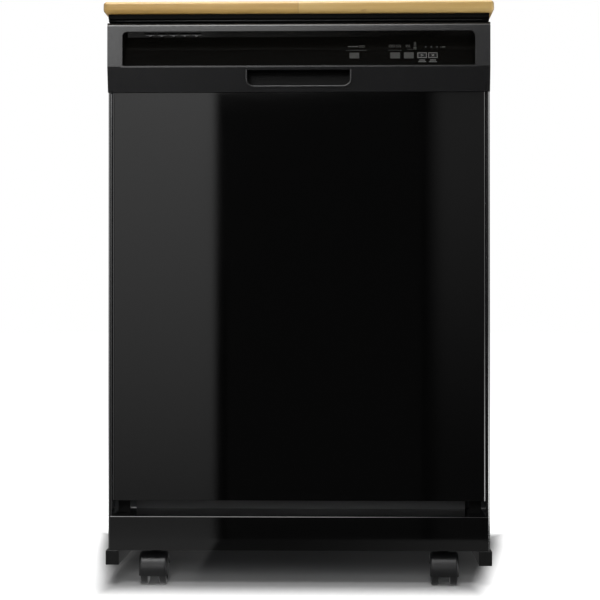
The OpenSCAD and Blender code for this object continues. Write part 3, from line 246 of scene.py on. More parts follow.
beside_card("left_card", -3, lambda f: f.z.smooth(-0.3, 0.9, 0.7, 1.8))
beside_card("right_card", 3, lambda f: f.z.smooth(-0.3, 0.5, 10.5, 1.8) + f.z.smooth(0.6, 1.4, 0.0, 1.6))


def lamp(name, place, target, width, height, power):
    light = bpy.data.lights.new(name, "AREA")
    light.shape, light.size, light.size_y, light.energy = "RECTANGLE", width, height, power
    made = bpy.data.objects.new(name, light)
    made.location = place
    made.rotation_euler = (Vector(target) - Vector(place)).to_track_quat("-Z", "Y").to_euler()
    made.visible_glossy = False
    bpy.context.scene.collection.objects.link(made)


lamp("overhead_lamp", (0, 0.3, 3.2), (0, 0.3, 0), 0.5, 1.2, 85)
lamp("front_lamp", (0, -3.4, 3.6), (0, -0.3, 0.5), 1.0, 1.4, 45)
lamp("low_lamp", (0, -5.0, 1.4), (0, 0, 0.3), 0.5, 1.6, 55)

world = bpy.data.worlds.new("studio air")
bpy.context.scene.world = world
world.use_nodes = True
air = Nodes(world.node_tree)
air.tree.nodes.clear()
shown = air.add("ShaderNodeLightPath", out="Is Camera Ray")
back = air.add("ShaderNodeBackground", inputs={"Color": (1, 1, 1), "Strength": shown * 0.95 + 0.05})
air.tree.links.new(back.socket, air.tree.nodes.new("ShaderNodeOutputWorld").inputs["Surface"])

# The worktop: staves of pale hardwood glued side by side, planed, with rounded edges and an oil finish.
# It lies on the moulded frame and overhangs it on all sides.
STAVE_W = 0.041
STAVE_L = 0.36


def as_mesh(made, name):
    mesh = bpy.data.meshes.new(name)
    made.to_mesh(mesh)
    made.free()
    return mesh


def solid(made, name, material, body, replaced=(), eased=30):
    """Turns bmesh geometry into a piece."""
    bmesh.ops.recalc_face_normals(made, faces=made.faces)
    return piece(as_mesh(made, name), name, material, body, replaced, eased)


def piece(mesh, name, material, body, replaced=(), eased=30):
    """A mesh that rides on a body, smooth but for its sharp edges, in the place of CAD nodes."""
    mesh.shade_smooth()
    mesh.set_sharp_from_angle(angle=math.radians(eased))
    mesh.materials.clear()
    mesh.materials.append(material)
    made = mesh_object(name, mesh)
    if replaced:
        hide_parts(*replaced)
    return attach(made, body)


def rounded_box(low, high, radius, segments=3, made=None):
    """A box between two corners whose edges are all rounded."""
    made = made or bmesh.new()
    size = Vector(high) - Vector(low)
    matrix = Matrix.Translation((Vector(low) + Vector(high)) / 2) @ Matrix.Diagonal((*size, 1))
    fresh = bmesh.ops.create_cube(made, size=1, matrix=matrix)["verts"]
    edges = list({e for v in fresh for e in v.link_edges})
    if radius:
        bmesh.ops.bevel(made, geom=edges, offset=radius, segments=segments, profile=0.5, affect="EDGES")
    return made


wood = Finish("oiled staves")
stave = wood.add("ShaderNodeTexBrick", {"offset": 0.37, "offset_frequency": 2}, {
    "Vector": wood.place, "Color1": (0.0, 0.0, 0.0), "Color2": (1.0, 1.0, 1.0), "Mortar": (0.5, 0.5, 0.5),
    "Scale": 1.0, "Mortar Size": 0.0, "Mortar Smooth": 0.0, "Bias": 0.0,
    "Brick Width": STAVE_L, "Row Height": STAVE_W})
seam = wood.add("ShaderNodeTexBrick", {"offset": 0.37, "offset_frequency": 2}, {
    "Vector": wood.place, "Scale": 1.0, "Mortar Size": 0.00045, "Mortar Smooth": 0.6,
    "Brick Width": STAVE_L, "Row Height": STAVE_W}, out="Fac")
shift = wood.add("ShaderNodeVectorMath", {"operation": "SCALE"}, {0: (3.1, 1.7, 2.3), "Scale": stave})
along = wood.add("ShaderNodeVectorMath", {"operation": "ADD"}, {0: wood.place, 1: shift})
grain = wood.noise(1.0, wood.stretched((9, 150, 260), along), 6, 0.6)
pores = wood.noise(1.0, wood.stretched((60, 900, 1400), along), 3, 0.6)
figure = wood.noise(1.0, wood.stretched((5, 24, 40), along), 3, 0.5)
fleck = wood.noise(1.0, wood.stretched((26, 60, 90), along), 1, 0.5).smooth(0.70, 0.80)
tone = stave * 0.42 + figure * 0.5 + grain * 0.42 - 0.22
pale = wood.add("ShaderNodeValToRGB", {"stops": [
    (0.0, linear(152, 114, 54)), (0.42, linear(188, 150, 81)), (1.0, linear(218, 188, 123))]}, {0: tone})
worn = wood.mix(fleck * 0.5, pale, linear(120, 78, 38))
wood.shade(Base_Color=wood.mix(seam * 0.55, worn, linear(96, 62, 30)),
           Roughness=pores * 0.16 + grain * 0.1 + 0.27, Coat_Weight=0.12, Coat_Roughness=0.25,
           Normal=wood.bump(grain * 0.5 + pores * 0.5 - seam, 0.00012))
low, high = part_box("worktop")
solid(rounded_box(low, high, 0.006, 6), "worktop_staves", wood.material, "root", ["worktop"])

# The frame under the worktop: one black moulding with a stepped rim. It hides the fixings of the wood and
# sits on the tops of the side panels.


def dressed(node, name, material, body, edge=0.0, segments=2, eased=30, flat=0.6):
    """A CAD node's own mesh, made clean, with its sharp edges eased as moulding and pressing leave them."""
    made = bmesh.new()
    made.from_mesh(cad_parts[node].data)
    bmesh.ops.remove_doubles(made, verts=made.verts, dist=4e-6)
    bmesh.ops.dissolve_limit(made, angle_limit=math.radians(flat), verts=made.verts, edges=made.edges)
    done = piece(as_mesh(made, name), name, material, body, [node], eased)
    if edge:
        bevel = done.modifiers.new("eased edges", "BEVEL")
        bevel.width, bevel.segments, bevel.limit_method = edge, segments, "ANGLE"
        bevel.angle_limit, bevel.use_clamp_overlap = math.radians(eased), True
    normals = done.modifiers.new("flat faces stay flat", "WEIGHTED_NORMAL")
    normals.weight, normals.keep_sharp = 100, True
    return done


def moulded(name, colour, roughness, grain=1400, depth=0.00003, coat=0.0, tint=0.25, gloss=0.5):
    """Moulded plastic: a fine spark grain, a little unevenness in its gloss and faint handling marks."""
    finish = Finish(name)
    spark = finish.noise(grain, detail=2, roughness=0.6)
    cloud = finish.noise(7, detail=3)
    scuff = finish.noise(1.0, finish.stretched((90, 90, 14)), 4, 0.7).smooth(0.62, 0.8)
    dark = tuple(c * (1 - tint) for c in colour)
    finish.shade(Base_Color=finish.mix(cloud * 0.8 + spark * 0.2, dark, colour), Specular_IOR_Level=gloss,
                 Roughness=cloud * 0.07 + scuff * 0.06 + spark * 0.05 + (roughness - 0.08),
                 Coat_Weight=coat, Coat_Roughness=0.12, Normal=finish.bump(spark, depth))
    return finish.material


frame_black = moulded("black frame moulding", linear(9, 9, 9), 0.5, gloss=0.06)
dressed("top_frame", "frame_moulding", frame_black, "root", 0.0008)
low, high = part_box("top_frame")
# A thin lip on the frame's front, coloured pale grey against the black frame as a painted highlight along its
# step.
LIP_INSET, LIP_R = 0.012, 0.0004
lip_near, lip_foot = low.y + 0.0035, low.z + 0.0012
frame_lip_highlight_grey = moulded("frame lip", linear(46, 46, 46), 0.3)
frame_lip = rounded_box((low.x + LIP_INSET, lip_near, lip_foot),
                        (high.x - LIP_INSET, lip_near + 0.001, lip_foot + 0.0012), LIP_R, 2)
solid(frame_lip, "frame_lip", frame_lip_highlight_grey, "root")

# The cabinet sides: steel sheet rolled to a round front edge, folded in at the back and enamelled black.
# Their rolled edges mirror the side cards as two thin bright lines beside the door.


def enamelled(name, colour, roughness, peel=0.000012, tint=0.3, gloss=0.5):
    """Sprayed enamel: a soft orange peel, fine dust in the film and a faint haze where hands wipe it."""
    finish = Finish(name)
    skin = finish.noise(190, detail=1.5, roughness=0.4)
    haze = finish.noise(3.1, detail=4, roughness=0.55)
    dust = finish.noise(620, detail=1).smooth(0.74, 0.82)
    dark = tuple(c * (1 - tint) for c in colour)
    finish.shade(Base_Color=finish.mix(haze, dark, colour), Roughness=haze * 0.03 + dust * 0.1 + roughness,
                 Specular_IOR_Level=gloss, Normal=finish.bump(skin, peel))
    return finish.material


cabinet_black = enamelled("black cabinet enamel", linear(14, 14, 14), 0.12, gloss=1.0)
dressed("side_panels", "cabinet_sides", cabinet_black, "root")

# The back: a zinc coated sheet with pressed stiffening swages, held by the side panels' folds and screws.
# The black bay in it takes the hoses and the cord when they are put away.


def sheet_metal(name, colour, roughness, spangle=70, metal=0.85):
    """Zinc coated steel: the spangle of its crystals under a dull skin."""
    finish = Finish(name)
    crystal = finish.add("ShaderNodeTexVoronoi", inputs={"Vector": finish.place, "Scale": spangle},
                         out="Color")
    grey = finish.add("ShaderNodeSeparateXYZ", inputs={0: crystal}, out="X")
    fine = finish.noise(330, detail=3)
    dark = tuple(c * 0.78 for c in colour)
    finish.shade(Base_Color=finish.mix(grey * 0.6 + fine * 0.4, dark, colour), Metallic=metal,
                 Roughness=grey * 0.1 + fine * 0.08 + roughness, Normal=finish.bump(fine, 0.00002))
    return finish.material


zinc_sheet = sheet_metal("zinc coated sheet", linear(168, 171, 174), 0.38)
bay_black = moulded("black bay moulding", linear(30, 30, 31), 0.5)
dressed("back_panel", "back_sheet", zinc_sheet, "root")
dressed("hose_bay", "hose_bay_moulding", bay_black, "root", 0.0008)
low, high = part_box("back_panel")
SWAGES, SWAGE_FOOT, SWAGE_PITCH, SWAGE_H, SWAGE_INSET = 8, 0.118, 0.066, 0.012, 0.06
swages = bmesh.new()
for z in [SWAGE_FOOT + SWAGE_PITCH * i for i in range(SWAGES)]:
    rounded_box((low.x + SWAGE_INSET, high.y - 0.0005, z),
                (high.x - SWAGE_INSET, high.y + 0.0008, z + SWAGE_H), 0.0006, 2, swages)
solid(swages, "back_swages", zinc_sheet, "root")
gland_grey = moulded("gland nylon", linear(44, 44, 46), 0.45)
dressed("cord_gland", "cord_gland_nylon", gland_grey, "root", 0.0004)
spigot_white = moulded("natural moulding", linear(226, 226, 220), 0.4, 900)
dressed("hose_spigots", "spigot_mouldings", spigot_white, "root", 0.0004)

# Fixing screws: zinc plated pan heads with a cross recess. The same head holds the back and the door's liner.
plated = sheet_metal("zinc plated screw", linear(150, 152, 154), 0.3, 900, 1.0)


def tree(name, inputs):
    """An empty geometry tree with named inputs; returns it and its input node's sockets."""
    group = bpy.data.node_groups.new(name, "GeometryNodeTree")
    group.interface.new_socket("Geometry", in_out="INPUT", socket_type="NodeSocketGeometry")
    for label, kind, value in inputs:
        made = group.interface.new_socket(label, in_out="INPUT", socket_type=f"NodeSocket{kind}")
        if value is not None:
            made.default_value = value
    group.interface.new_socket("Geometry", in_out="OUTPUT", socket_type="NodeSocketGeometry")
    nodes = Nodes(group)
    start = group.nodes.new("NodeGroupInput")
    return nodes, {s.name: Value(nodes, s) for s in start.outputs if s.name}


def ended(nodes, shape, material):
    """Ends a geometry tree as real mesh with its material."""
    real = nodes.add("GeometryNodeRealizeInstances", inputs={0: shape})
    dressed_shape = nodes.add("GeometryNodeSetMaterial", inputs={"Geometry": real, "Material": material})
    end = nodes.tree.nodes.new("NodeGroupOutput")
    nodes.tree.links.new(dressed_shape.socket, end.inputs[0])
    return nodes.tree


def grown_mesh(group, start, sizes):
    """Runs a geometry tree on a mesh with the given sizes and returns what it makes as a plain mesh."""
    seed = mesh_object("seed", start)
    modifier = seed.modifiers.new("growth", "NODES")
    modifier.node_group = group
    for item in group.interface.items_tree:
        if item.in_out == "INPUT" and item.name in sizes:
            modifier[item.identifier] = sizes[item.name]
    evaluated = seed.evaluated_get(bpy.context.evaluated_depsgraph_get())
    mesh = bpy.data.meshes.new_from_object(evaluated)
    bpy.data.objects.remove(seed)
    return mesh


def grown(group, name, start, sizes, body, replaced=(), eased=30):
    """A piece of the shape that a geometry tree grows on a mesh."""
    mesh = grown_mesh(group, start, sizes)
    mesh.name = name
    return piece(mesh, name, sizes["Material"], body, replaced, eased)


def points(places):
    """A mesh of loose points."""
    mesh = bpy.data.meshes.new("places")
    mesh.from_pydata([tuple(p) for p in places], [], [])
    return mesh


def screw_head(radius, height):
    """A pan head lying in the plane of X and Z, its crown towards +Y, with a cross recess."""
    made = bmesh.new()
    rings = [(1.0, 0.0), (1.0, 0.35), (0.93, 0.62), (0.75, 0.86), (0.45, 0.98)]
    count = 20
    loops = [[made.verts.new((radius * r * math.cos(a), height * h, radius * r * math.sin(a)))
              for a in (2 * math.pi * i / count for i in range(count))] for r, h in rings]
    for inner, outer in zip(loops[1:], loops):
        for i in range(count):
            j = (i + 1) % count
            made.faces.new((outer[i], outer[j], inner[j], inner[i]))
    hub = made.verts.new((0, height * 0.30, 0))
    cross = []
    for i in range(count):
        wide = i % 5 == 0
        r = 0.42 if wide else 0.14
        a = 2 * math.pi * i / count
        cross.append(made.verts.new((radius * r * math.cos(a), height * (0.95 if wide else 0.9),
                                     radius * r * math.sin(a))))
    for i in range(count):
        j = (i + 1) % count
        made.faces.new((loops[-1][i], loops[-1][j], cross[j], cross[i]))
        made.faces.new((cross[i], cross[j], hub))
    made.faces.new(list(reversed(loops[0])))
    bmesh.ops.recalc_face_normals(made, faces=made.faces)
    mesh = as_mesh(made, "screw head")
    mesh.shade_smooth()
    return mesh


nodes, given = tree("screws on their places", [("Head", "Object", None), ("Size", "Float", 1.0),
                                               ("Seed", "Int", 7), ("Material", "Material", None)])
head = nodes.add("GeometryNodeObjectInfo", inputs={"Object": given["Head"]}, out="Geometry")
turn = nodes.add("FunctionNodeRandomValue", {"data_type": "FLOAT"},
                 {2: 0.0, 3: math.pi / 2, "Seed": given["Seed"]}, out=1)
spin = nodes.add("ShaderNodeCombineXYZ", inputs={"Y": turn})
set_out = nodes.add("GeometryNodeInstanceOnPoints", inputs={
    "Points": given["Geometry"], "Instance": head, "Rotation": spin, "Scale": given["Size"]})
screws = ended(nodes, set_out, given["Material"])
head_mould = mesh_object("head_mould", screw_head(0.004, 0.0016))
BACK_FACE = 0.322
cabinet_places = [(x, BACK_FACE, z) for x in (-0.295, 0.295) for z in (0.087, 0.347, 0.607, 0.859)]
grown(screws, "cabinet_screw_heads", points(cabinet_places),
      {"Head": head_mould, "Size": 1.0, "Seed": 7, "Material": plated}, "root", ["cabinet_screws"])

# The base: two open channels of black enamelled steel under the sides, joined by two crossmembers whose
# sockets take the casters' stems.
rail_black = enamelled("black rail enamel", linear(12, 12, 12), 0.5, 0.00003, gloss=0.2)
cross_zinc = sheet_metal("crossmember zinc", linear(120, 122, 124), 0.42)
dressed("base_rails", "rail_channels", rail_black, "root", 0.001)
dressed("crossmembers", "caster_crossmembers", cross_zinc, "root")

# The kick plate: black enamelled sheet bent back into the deep ledge under the door. The plain panel at the
# ledge's back covers the pump, and the door's hinge brackets stand beside it.
kick_black = enamelled("black kick plate enamel", linear(7, 7, 7), 0.025, 0.000002)
access_grey = enamelled("dark access enamel", linear(145, 145, 146), 0.5, 0.00003)
dressed("kick_plate", "kick_plate_sheet", kick_black, "root")
dressed("access_panel", "access_panel_sheet", access_grey, "root", 0.0003)
bracket_black = enamelled("black bracket enamel", linear(8, 8, 8), 0.5, 0.00003, gloss=0.2)
dressed("hinge_brackets", "hinge_bracket_plates", bracket_black, "root", 0.0004)

# The casters: a nylon hood over two wheels on one axle. The hood swivels on its steel stem, and each wheel
# has a hard tread, a round shoulder and a recessed disc.
hood_black = moulded("caster nylon", linear(26, 26, 27), 0.42, 1100, 0.00004, gloss=0.35)
tread_black = moulded("hard black tread", linear(30, 30, 31), 0.36, 700, 0.00003)


def turned(profile, centre, name, material, body, replaced, count=40):
    """A pair of mirrored shapes, each turned about an axle along X from (place along it, radius) points."""
    made = bmesh.new()
    for side in (1, -1):
        loops = [[made.verts.new(centre + Vector((side * u, r * math.cos(a), r * math.sin(a))))
                  for a in (2 * math.pi * i / count for i in range(count))] for u, r in profile]
        for a, b in zip(loops, loops[1:]):
            for i in range(count):
                j = (i + 1) % count
                made.faces.new((a[i], a[j], b[j], b[i]))
        made.faces.new(loops[0])
        made.faces.new(list(reversed(loops[-1])))
    return solid(made, name, material, body, replaced, 35)


for place in ("front_left", "front_right", "rear_left", "rear_right"):
    dressed(f"{place}_caster", f"{place}_caster_hood", hood_black, f"{place}_caster_body",
            0.0007)
    low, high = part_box(f"{place}_wheels")
    r, w = (high.z - low.z) / 2, (high.x - low.x) / 2
    tread = [(-0.001, 0.003), (0.0088, 0.003), (0.009, 0.006), (0.009, r - 0.0022), (0.0097, r - 0.0007),
             (0.0110, r), (w - 0.002, r), (w - 0.0006, r - 0.0008), (w, r - 0.0025), (w, r - 0.0055),
             (w - 0.0012, r - 0.007), (w - 0.0022, r - 0.008), (w - 0.0024, 0.010), (w - 0.001, 0.0085),
             (w - 0.001, 0.0035), (w - 0.002, 0.002)]
    turned(tread, (low + high) / 2, f"{place}_wheel_pair", tread_black,
           f"{place}_wheels_body", [f"{place}_wheels"])

# The tub: one deep moulding of pale grey plastic with the wheel ledges in its floor and a front flange that
# carries the soft seal. The sump, the filter and the heating rod are in its floor.
tub_grey = moulded("tub moulding", linear(176, 180, 184), 0.36, 500, 0.00004, 0.1, 0.12)
seal_grey = moulded("soft seal rubber", linear(88, 89, 92), 0.6, 700, 0.00005)
sump_grey = moulded("sump moulding", linear(150, 152, 155), 0.4, 600, 0.00003)
dressed("tub", "tub_moulding", tub_grey, "root")
dressed("tub_gasket", "tub_seal", seal_grey, "root", 0.0012)
dressed("sump", "sump_moulding", sump_grey, "root", 0.0006)
dressed("filter", "filter_cup", sump_grey, "root", 0.0005)
dressed("float", "overfill_float", spigot_white, "float_body", 0.001)
feed_grey = moulded("feed tube moulding", linear(168, 171, 174), 0.4, 600)
dressed("feed_tube", "feed_tube_moulding", feed_grey, "root", 0.001)
rod_metal = sheet_metal("sheathed heating rod", linear(118, 116, 118), 0.3, 400, 1.0)
dressed("heater", "heating_rod", rod_metal, "root")

# Behind and below the tub: the wash motor and the drain pump on the sump's stubs, and the inlet valve on the
# rear crossmember. The latch's strike is at the tub's top.
motor_grey = sheet_metal("motor shell", linear(150, 152, 154), 0.34, 500, 0.9)
pump_blue = moulded("pump moulding", linear(72, 86, 100), 0.42, 700)
valve_white = moulded("valve moulding", linear(224, 224, 218), 0.42, 700)
dressed("wash_motor", "wash_motor_shell", motor_grey, "root", 0.001)
dressed("drain_pump", "drain_pump_moulding", pump_blue, "root", 0.001)
dressed("inlet_valve", "inlet_valve_moulding", valve_white, "root", 0.0008)
strike_zinc = sheet_metal("strike zinc", linear(142, 144, 146), 0.34, 600, 1.0)
dressed("latch_strike", "latch_strike_plate", strike_zinc, "root", 0.0004)

# The counterbalance springs: close wound spring wire that stands on the rails beside the tub. They hold the
# door's weight through the hinge arms.
nodes, given = tree("close wound spring", [
    ("Turns", "Float", 30.0), ("Length", "Float", 0.13), ("Coil radius", "Float", 0.0045),
    ("Wire radius", "Float", 0.001), ("Material", "Material", None)])
coil = nodes.add("GeometryNodeCurveSpiral", inputs={
    "Resolution": 14, "Rotations": given["Turns"], "Start Radius": given["Coil radius"],
    "End Radius": given["Coil radius"], "Height": given["Length"]})
wire = nodes.add("GeometryNodeCurvePrimitiveCircle", inputs={"Resolution": 6, "Radius": given["Wire radius"]})
wound = nodes.add("GeometryNodeCurveToMesh", inputs={"Curve": coil, "Profile Curve": wire, "Fill Caps": True})
set_on = nodes.add("GeometryNodeInstanceOnPoints", inputs={"Points": given["Geometry"], "Instance": wound})
springs = ended(nodes, set_on, given["Material"])
spring_steel = sheet_metal("bright spring wire", linear(176, 176, 178), 0.24, 900, 1.0)
low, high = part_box("door_springs")
SPRING_R, SPRING_GAP = 0.006, 0.001
spring_x, spring_y, spring_z = high.x - SPRING_R, (low.y + high.y) / 2, low.z + SPRING_GAP
grown(springs, "balance_springs", points([(-spring_x, spring_y, spring_z), (spring_x, spring_y, spring_z)]),
      {"Turns": 52.0, "Length": high.z - low.z - 2 * SPRING_GAP, "Coil radius": 0.0049,
       "Wire radius": 0.00105, "Material": spring_steel}, "root", ["door_springs"], 60)

# The door's outer panel: one sheet folded in at its sides and foot and finished in a mirror gloss black.
door_gloss = enamelled("mirror black door enamel", linear(5, 5, 5), 0.018, 0.0000012, 0.1)
dressed("door_panel", "door_sheet", door_gloss, "door")

# The console: a moulding along the door's top with a satin face. Its recess is left black and glossy inside,
# and five vent slots open in the recess's ceiling, each with a small bump coloured pale grey as a painted
# glint.
CONSOLE_FRONT = -0.326
RECESS_HALF = 0.2805
RECESS_FOOT = 0.828
RECESS_TOP = 0.883
console_satin = Finish("satin console moulding")
inside = ((console_satin.y > CONSOLE_FRONT + 0.0009) * (console_satin.z > RECESS_FOOT - 0.0006)
          * (console_satin.z < RECESS_TOP + 0.001) * (console_satin.x.size() < RECESS_HALF + 0.001)
          * (console_satin.y < CONSOLE_FRONT + 0.034))
spark = console_satin.noise(1500, detail=2, roughness=0.6)
cloud = console_satin.noise(6, detail=3)
console_satin.shade(
    Base_Color=console_satin.mix(inside, console_satin.mix(cloud, linear(23, 23, 24), linear(26, 26, 27)),
                                 linear(15, 14, 12)),
    Roughness=(cloud * 0.06 + spark * 0.05 + 0.21) * (1 - inside) + inside * 0.05,
    Normal=console_satin.bump(spark * (1 - inside), 0.000025))
console = dressed("console", "console_moulding", console_satin.material, "door", 0.0009, 3)
CREASE = 0.827
for edge in console.data.edges:
    if all(abs(console.data.vertices[v].co.z - CREASE) < 0.0005 for v in edge.vertices):
        edge.use_edge_sharp = True

# Painted glints: the vent bumps are pale grey against the black console.
vent_glint_grey = moulded("snap bumps", linear(120, 120, 120), 0.3)
bump_shape = bmesh.new()
bmesh.ops.create_uvsphere(bump_shape, u_segments=14, v_segments=8, radius=1.0,
                          matrix=Matrix.Diagonal((0.0022, 0.0011, 0.0016, 1)))
bump_mould = mesh_object("bump_mould", as_mesh(bump_shape, "bump mould"))
VENTS, VENT_PITCH, VENT_X = 5, 0.0185, -0.247
nodes, given = tree("row of one shape", [
    ("Shape", "Object", None), ("Count", "Int", VENTS), ("Pitch", "Vector", (VENT_PITCH, 0, 0)),
    ("Material", "Material", None)])
shape = nodes.add("GeometryNodeObjectInfo", inputs={"Object": given["Shape"]}, out="Geometry")
line = nodes.add("GeometryNodeMeshLine", {"mode": "OFFSET"},
                 {"Count": given["Count"], "Offset": given["Pitch"]})
row = nodes.add("GeometryNodeInstanceOnPoints", inputs={"Points": line, "Instance": shape})
rows = nodes.add("GeometryNodeInstanceOnPoints", inputs={"Points": given["Geometry"], "Instance": row})
row_of = ended(nodes, rows, given["Material"])
vent_start = (VENT_X + VENT_PITCH / 2, CONSOLE_FRONT + 0.0202, RECESS_TOP - 0.0042)
grown(row_of, "vent_bumps", points([vent_start]),
      {"Shape": bump_mould, "Count": VENTS, "Pitch": (VENT_PITCH, 0, 0), "Material": vent_glint_grey},
      "door", (), 60)
bpy.data.objects.remove(bump_mould)

# The handle pocket: a smooth cup behind the opening in the console's lower band. A thin rolled lip frames the
# opening at its sides and foot; its paler grey is a painted highlight along the edge.
pocket_black = moulded("pocket moulding", linear(9, 9, 9), 0.45, 1200, 0.00001, gloss=0.15)
dressed("handle_pocket", "pocket_cup", pocket_black, "door", 0.001, 3)
nodes, given = tree("run of bent wires", [
    ("Bend", "Float", 0.008), ("Count", "Int", 12), ("Pitch", "Vector", (0, 0.038, 0)),
    ("Wire radius", "Float", 0.002), ("Sides", "Int", 8), ("Material", "Material", None)])
path_line = nodes.add("GeometryNodeMeshToCurve", inputs={"Mesh": given["Geometry"]})
bent = nodes.add("GeometryNodeFilletCurve", {"mode": "POLY"},
                 {"Curve": path_line, "Count": 5, "Radius": given["Bend"]})
line = nodes.add("GeometryNodeMeshLine", {"mode": "OFFSET"},
                 {"Count": given["Count"], "Offset": given["Pitch"]})
run = nodes.add("GeometryNodeInstanceOnPoints", inputs={"Points": line, "Instance": bent})
laid = nodes.add("GeometryNodeRealizeInstances", inputs={0: run})
round_wire = nodes.add("GeometryNodeCurvePrimitiveCircle", inputs={
    "Resolution": given["Sides"], "Radius": given["Wire radius"]})
coated = nodes.add("GeometryNodeCurveToMesh", inputs={
    "Curve": laid, "Profile Curve": round_wire, "Fill Caps": True})
wires = ended(nodes, coated, given["Material"])


def wire_run(path, count, pitch, material, radius, bend, closed=False):
    """A wire bent along the points of a path, repeated at a pitch; returns the mesh."""
    last = len(path) - 1
    seed = bpy.data.meshes.new("path")
    seed.from_pydata(path, [(i, i + 1) for i in range(last)] + [(last, 0)] * closed, [])
    return grown_mesh(wires, seed, {"Bend": bend, "Count": count, "Pitch": pitch, "Wire radius": radius,
                                    "Sides": 8, "Material": material})


POCKET_HALF, POCKET_FOOT, POCKET_TOP, POCKET_R = 0.083, 0.795, 0.8215, 0.012
POCKET_LIP_R = 0.0011
lip_y = CONSOLE_FRONT + 0.0005
lip_path = [(-POCKET_HALF, lip_y, POCKET_TOP), (-POCKET_HALF, lip_y, POCKET_FOOT),
            (POCKET_HALF, lip_y, POCKET_FOOT), (POCKET_HALF, lip_y, POCKET_TOP)]
# Painted highlight: the lip is paler grey than the console around it.
pocket_lip_highlight_grey = moulded("pocket lip", linear(34, 34, 35), 0.3, 1200, 0.00001)
piece(wire_run(lip_path, 1, (0, 0, 0), pocket_lip_highlight_grey, POCKET_LIP_R, POCKET_R), "pocket_lip", pocket_lip_highlight_grey,
      "door", (), 60)

# The control panel: gloss black acrylic in the recess. Its legends are printed in grey, as plain bars, rings
# and waves over the keys, in millimetres from its middle and up from its foot. Its left end is bare.
panel_gloss = enamelled("piano black panel", linear(15, 14, 12), 0.04, 0.0000012, 0.1)
dressed("control_panel", "control_panel_acrylic", panel_gloss, "door", 0.0001, 1)
PANEL_LEAN, PANEL_RISE = 18, 55
TILT = math.atan(PANEL_LEAN / PANEL_RISE)
on_panel = Matrix.Translation((0, CONSOLE_FRONT + 0.012, RECESS_FOOT)) @ Matrix.Rotation(-TILT, 4, "X")
print_grey = moulded("legend ink", linear(126, 126, 124), 0.5, 2000, 0.000002, gloss=0.1)
INK = 0.00005


def printed(name, shapes, body, lift=0.00004):
    """Flat printed shapes, each a list of (x, height up the panel) points in millimetres."""
    made = bmesh.new()
    for outline in shapes:
        front, behind = ([made.verts.new(on_panel @ Vector((x / 1000, y, u / 1000))) for x, u in outline]
                         for y in (-lift, INK - lift))
        made.faces.new(front)
        made.faces.new(list(reversed(behind)))
        for i in range(len(outline)):
            j = (i + 1) % len(outline)
            made.faces.new((front[i], behind[i], behind[j], front[j]))
    return solid(made, name, print_grey, body)


def bar(x, u, w, h):
    return [(x - w / 2, u - h / 2), (x + w / 2, u - h / 2), (x + w / 2, u + h / 2), (x - w / 2, u + h / 2)]


def ring(x, u, r, t=0.45, parts=14):
    """A ring as a chain of short plates."""
    plates = []
    for i in range(parts):
        a, b = 2 * math.pi * i / parts, 2 * math.pi * (i + 1) / parts
        plates.append([(x + r * math.cos(a), u + r * math.sin(a)), (x + r * math.cos(b), u + r * math.sin(b)),
                       (x + (r - t) * math.cos(b), u + (r - t) * math.sin(b)),
                       (x + (r - t) * math.cos(a), u + (r - t) * math.sin(a))])
    return plates


def wave(x, u, w, h, t=0.5, parts=10):
    """An upright wave, the usual sign for heat or steam."""
    plates = []
    for i in range(parts):
        low_u, high_u = u - h / 2 + h * i / parts, u - h / 2 + h * (i + 1) / parts
        a = x + w / 2 * math.sin(2 * math.pi * i / parts)
        b = x + w / 2 * math.sin(2 * math.pi * (i + 1) / parts)
        plates.append([(a - t / 2, low_u), (a + t / 2, low_u), (b + t / 2, high_u), (b - t / 2, high_u)])
    return plates


START_X, CANCEL_X = 197.0, 214.2
legends = [bar(x, 34.6, w, 1.5) for x, w in ((81.5, 5.2), (87.2, 4.4), (92.4, 4.0))]
legends += ring(98.2, 34.8, 2.1) + ring(103.2, 34.8, 2.1)
legends += [bar(76.5 + 3.1 * i, 27.8, 1.5, 0.5) for i in range(11)]
legends += ring(146.6, 35.2, 2.3) + ring(151.4, 35.2, 2.3)
legends += wave(156.6, 35.2, 1.3, 5) + wave(159.4, 35.2, 1.3, 5) + wave(162.2, 35.2, 1.3, 5)
legends += [bar(144.5 + 3.1 * i, 27.8, 1.5, 0.5) for i in range(7)]
legends += wave(172.0, 35.2, 1.2, 4.6) + wave(174.6, 35.2, 1.2, 4.6) + wave(177.2, 35.2, 1.2, 4.6)
legends += ring(186.0, 40.6, 1.5) + ring(186.0, 36.8, 1.9) + [bar(186, 33.0, 5, 0.6), bar(186, 31.4, 5, 0.6)]
legends += [bar(174.5 + 3.1 * i, 29.4, 1.4, 0.5) for i in range(5)]
legends += [bar(227, 33.4, 1, 0.7), bar(231.6, 33.4, 5, 0.9)]
for x in (START_X, CANCEL_X):
    legends += [bar(x, 10.4, 9.6, 1.5), bar(x, 7.4, 12.4, 1.1)]
printed("panel_legends", legends, "door")

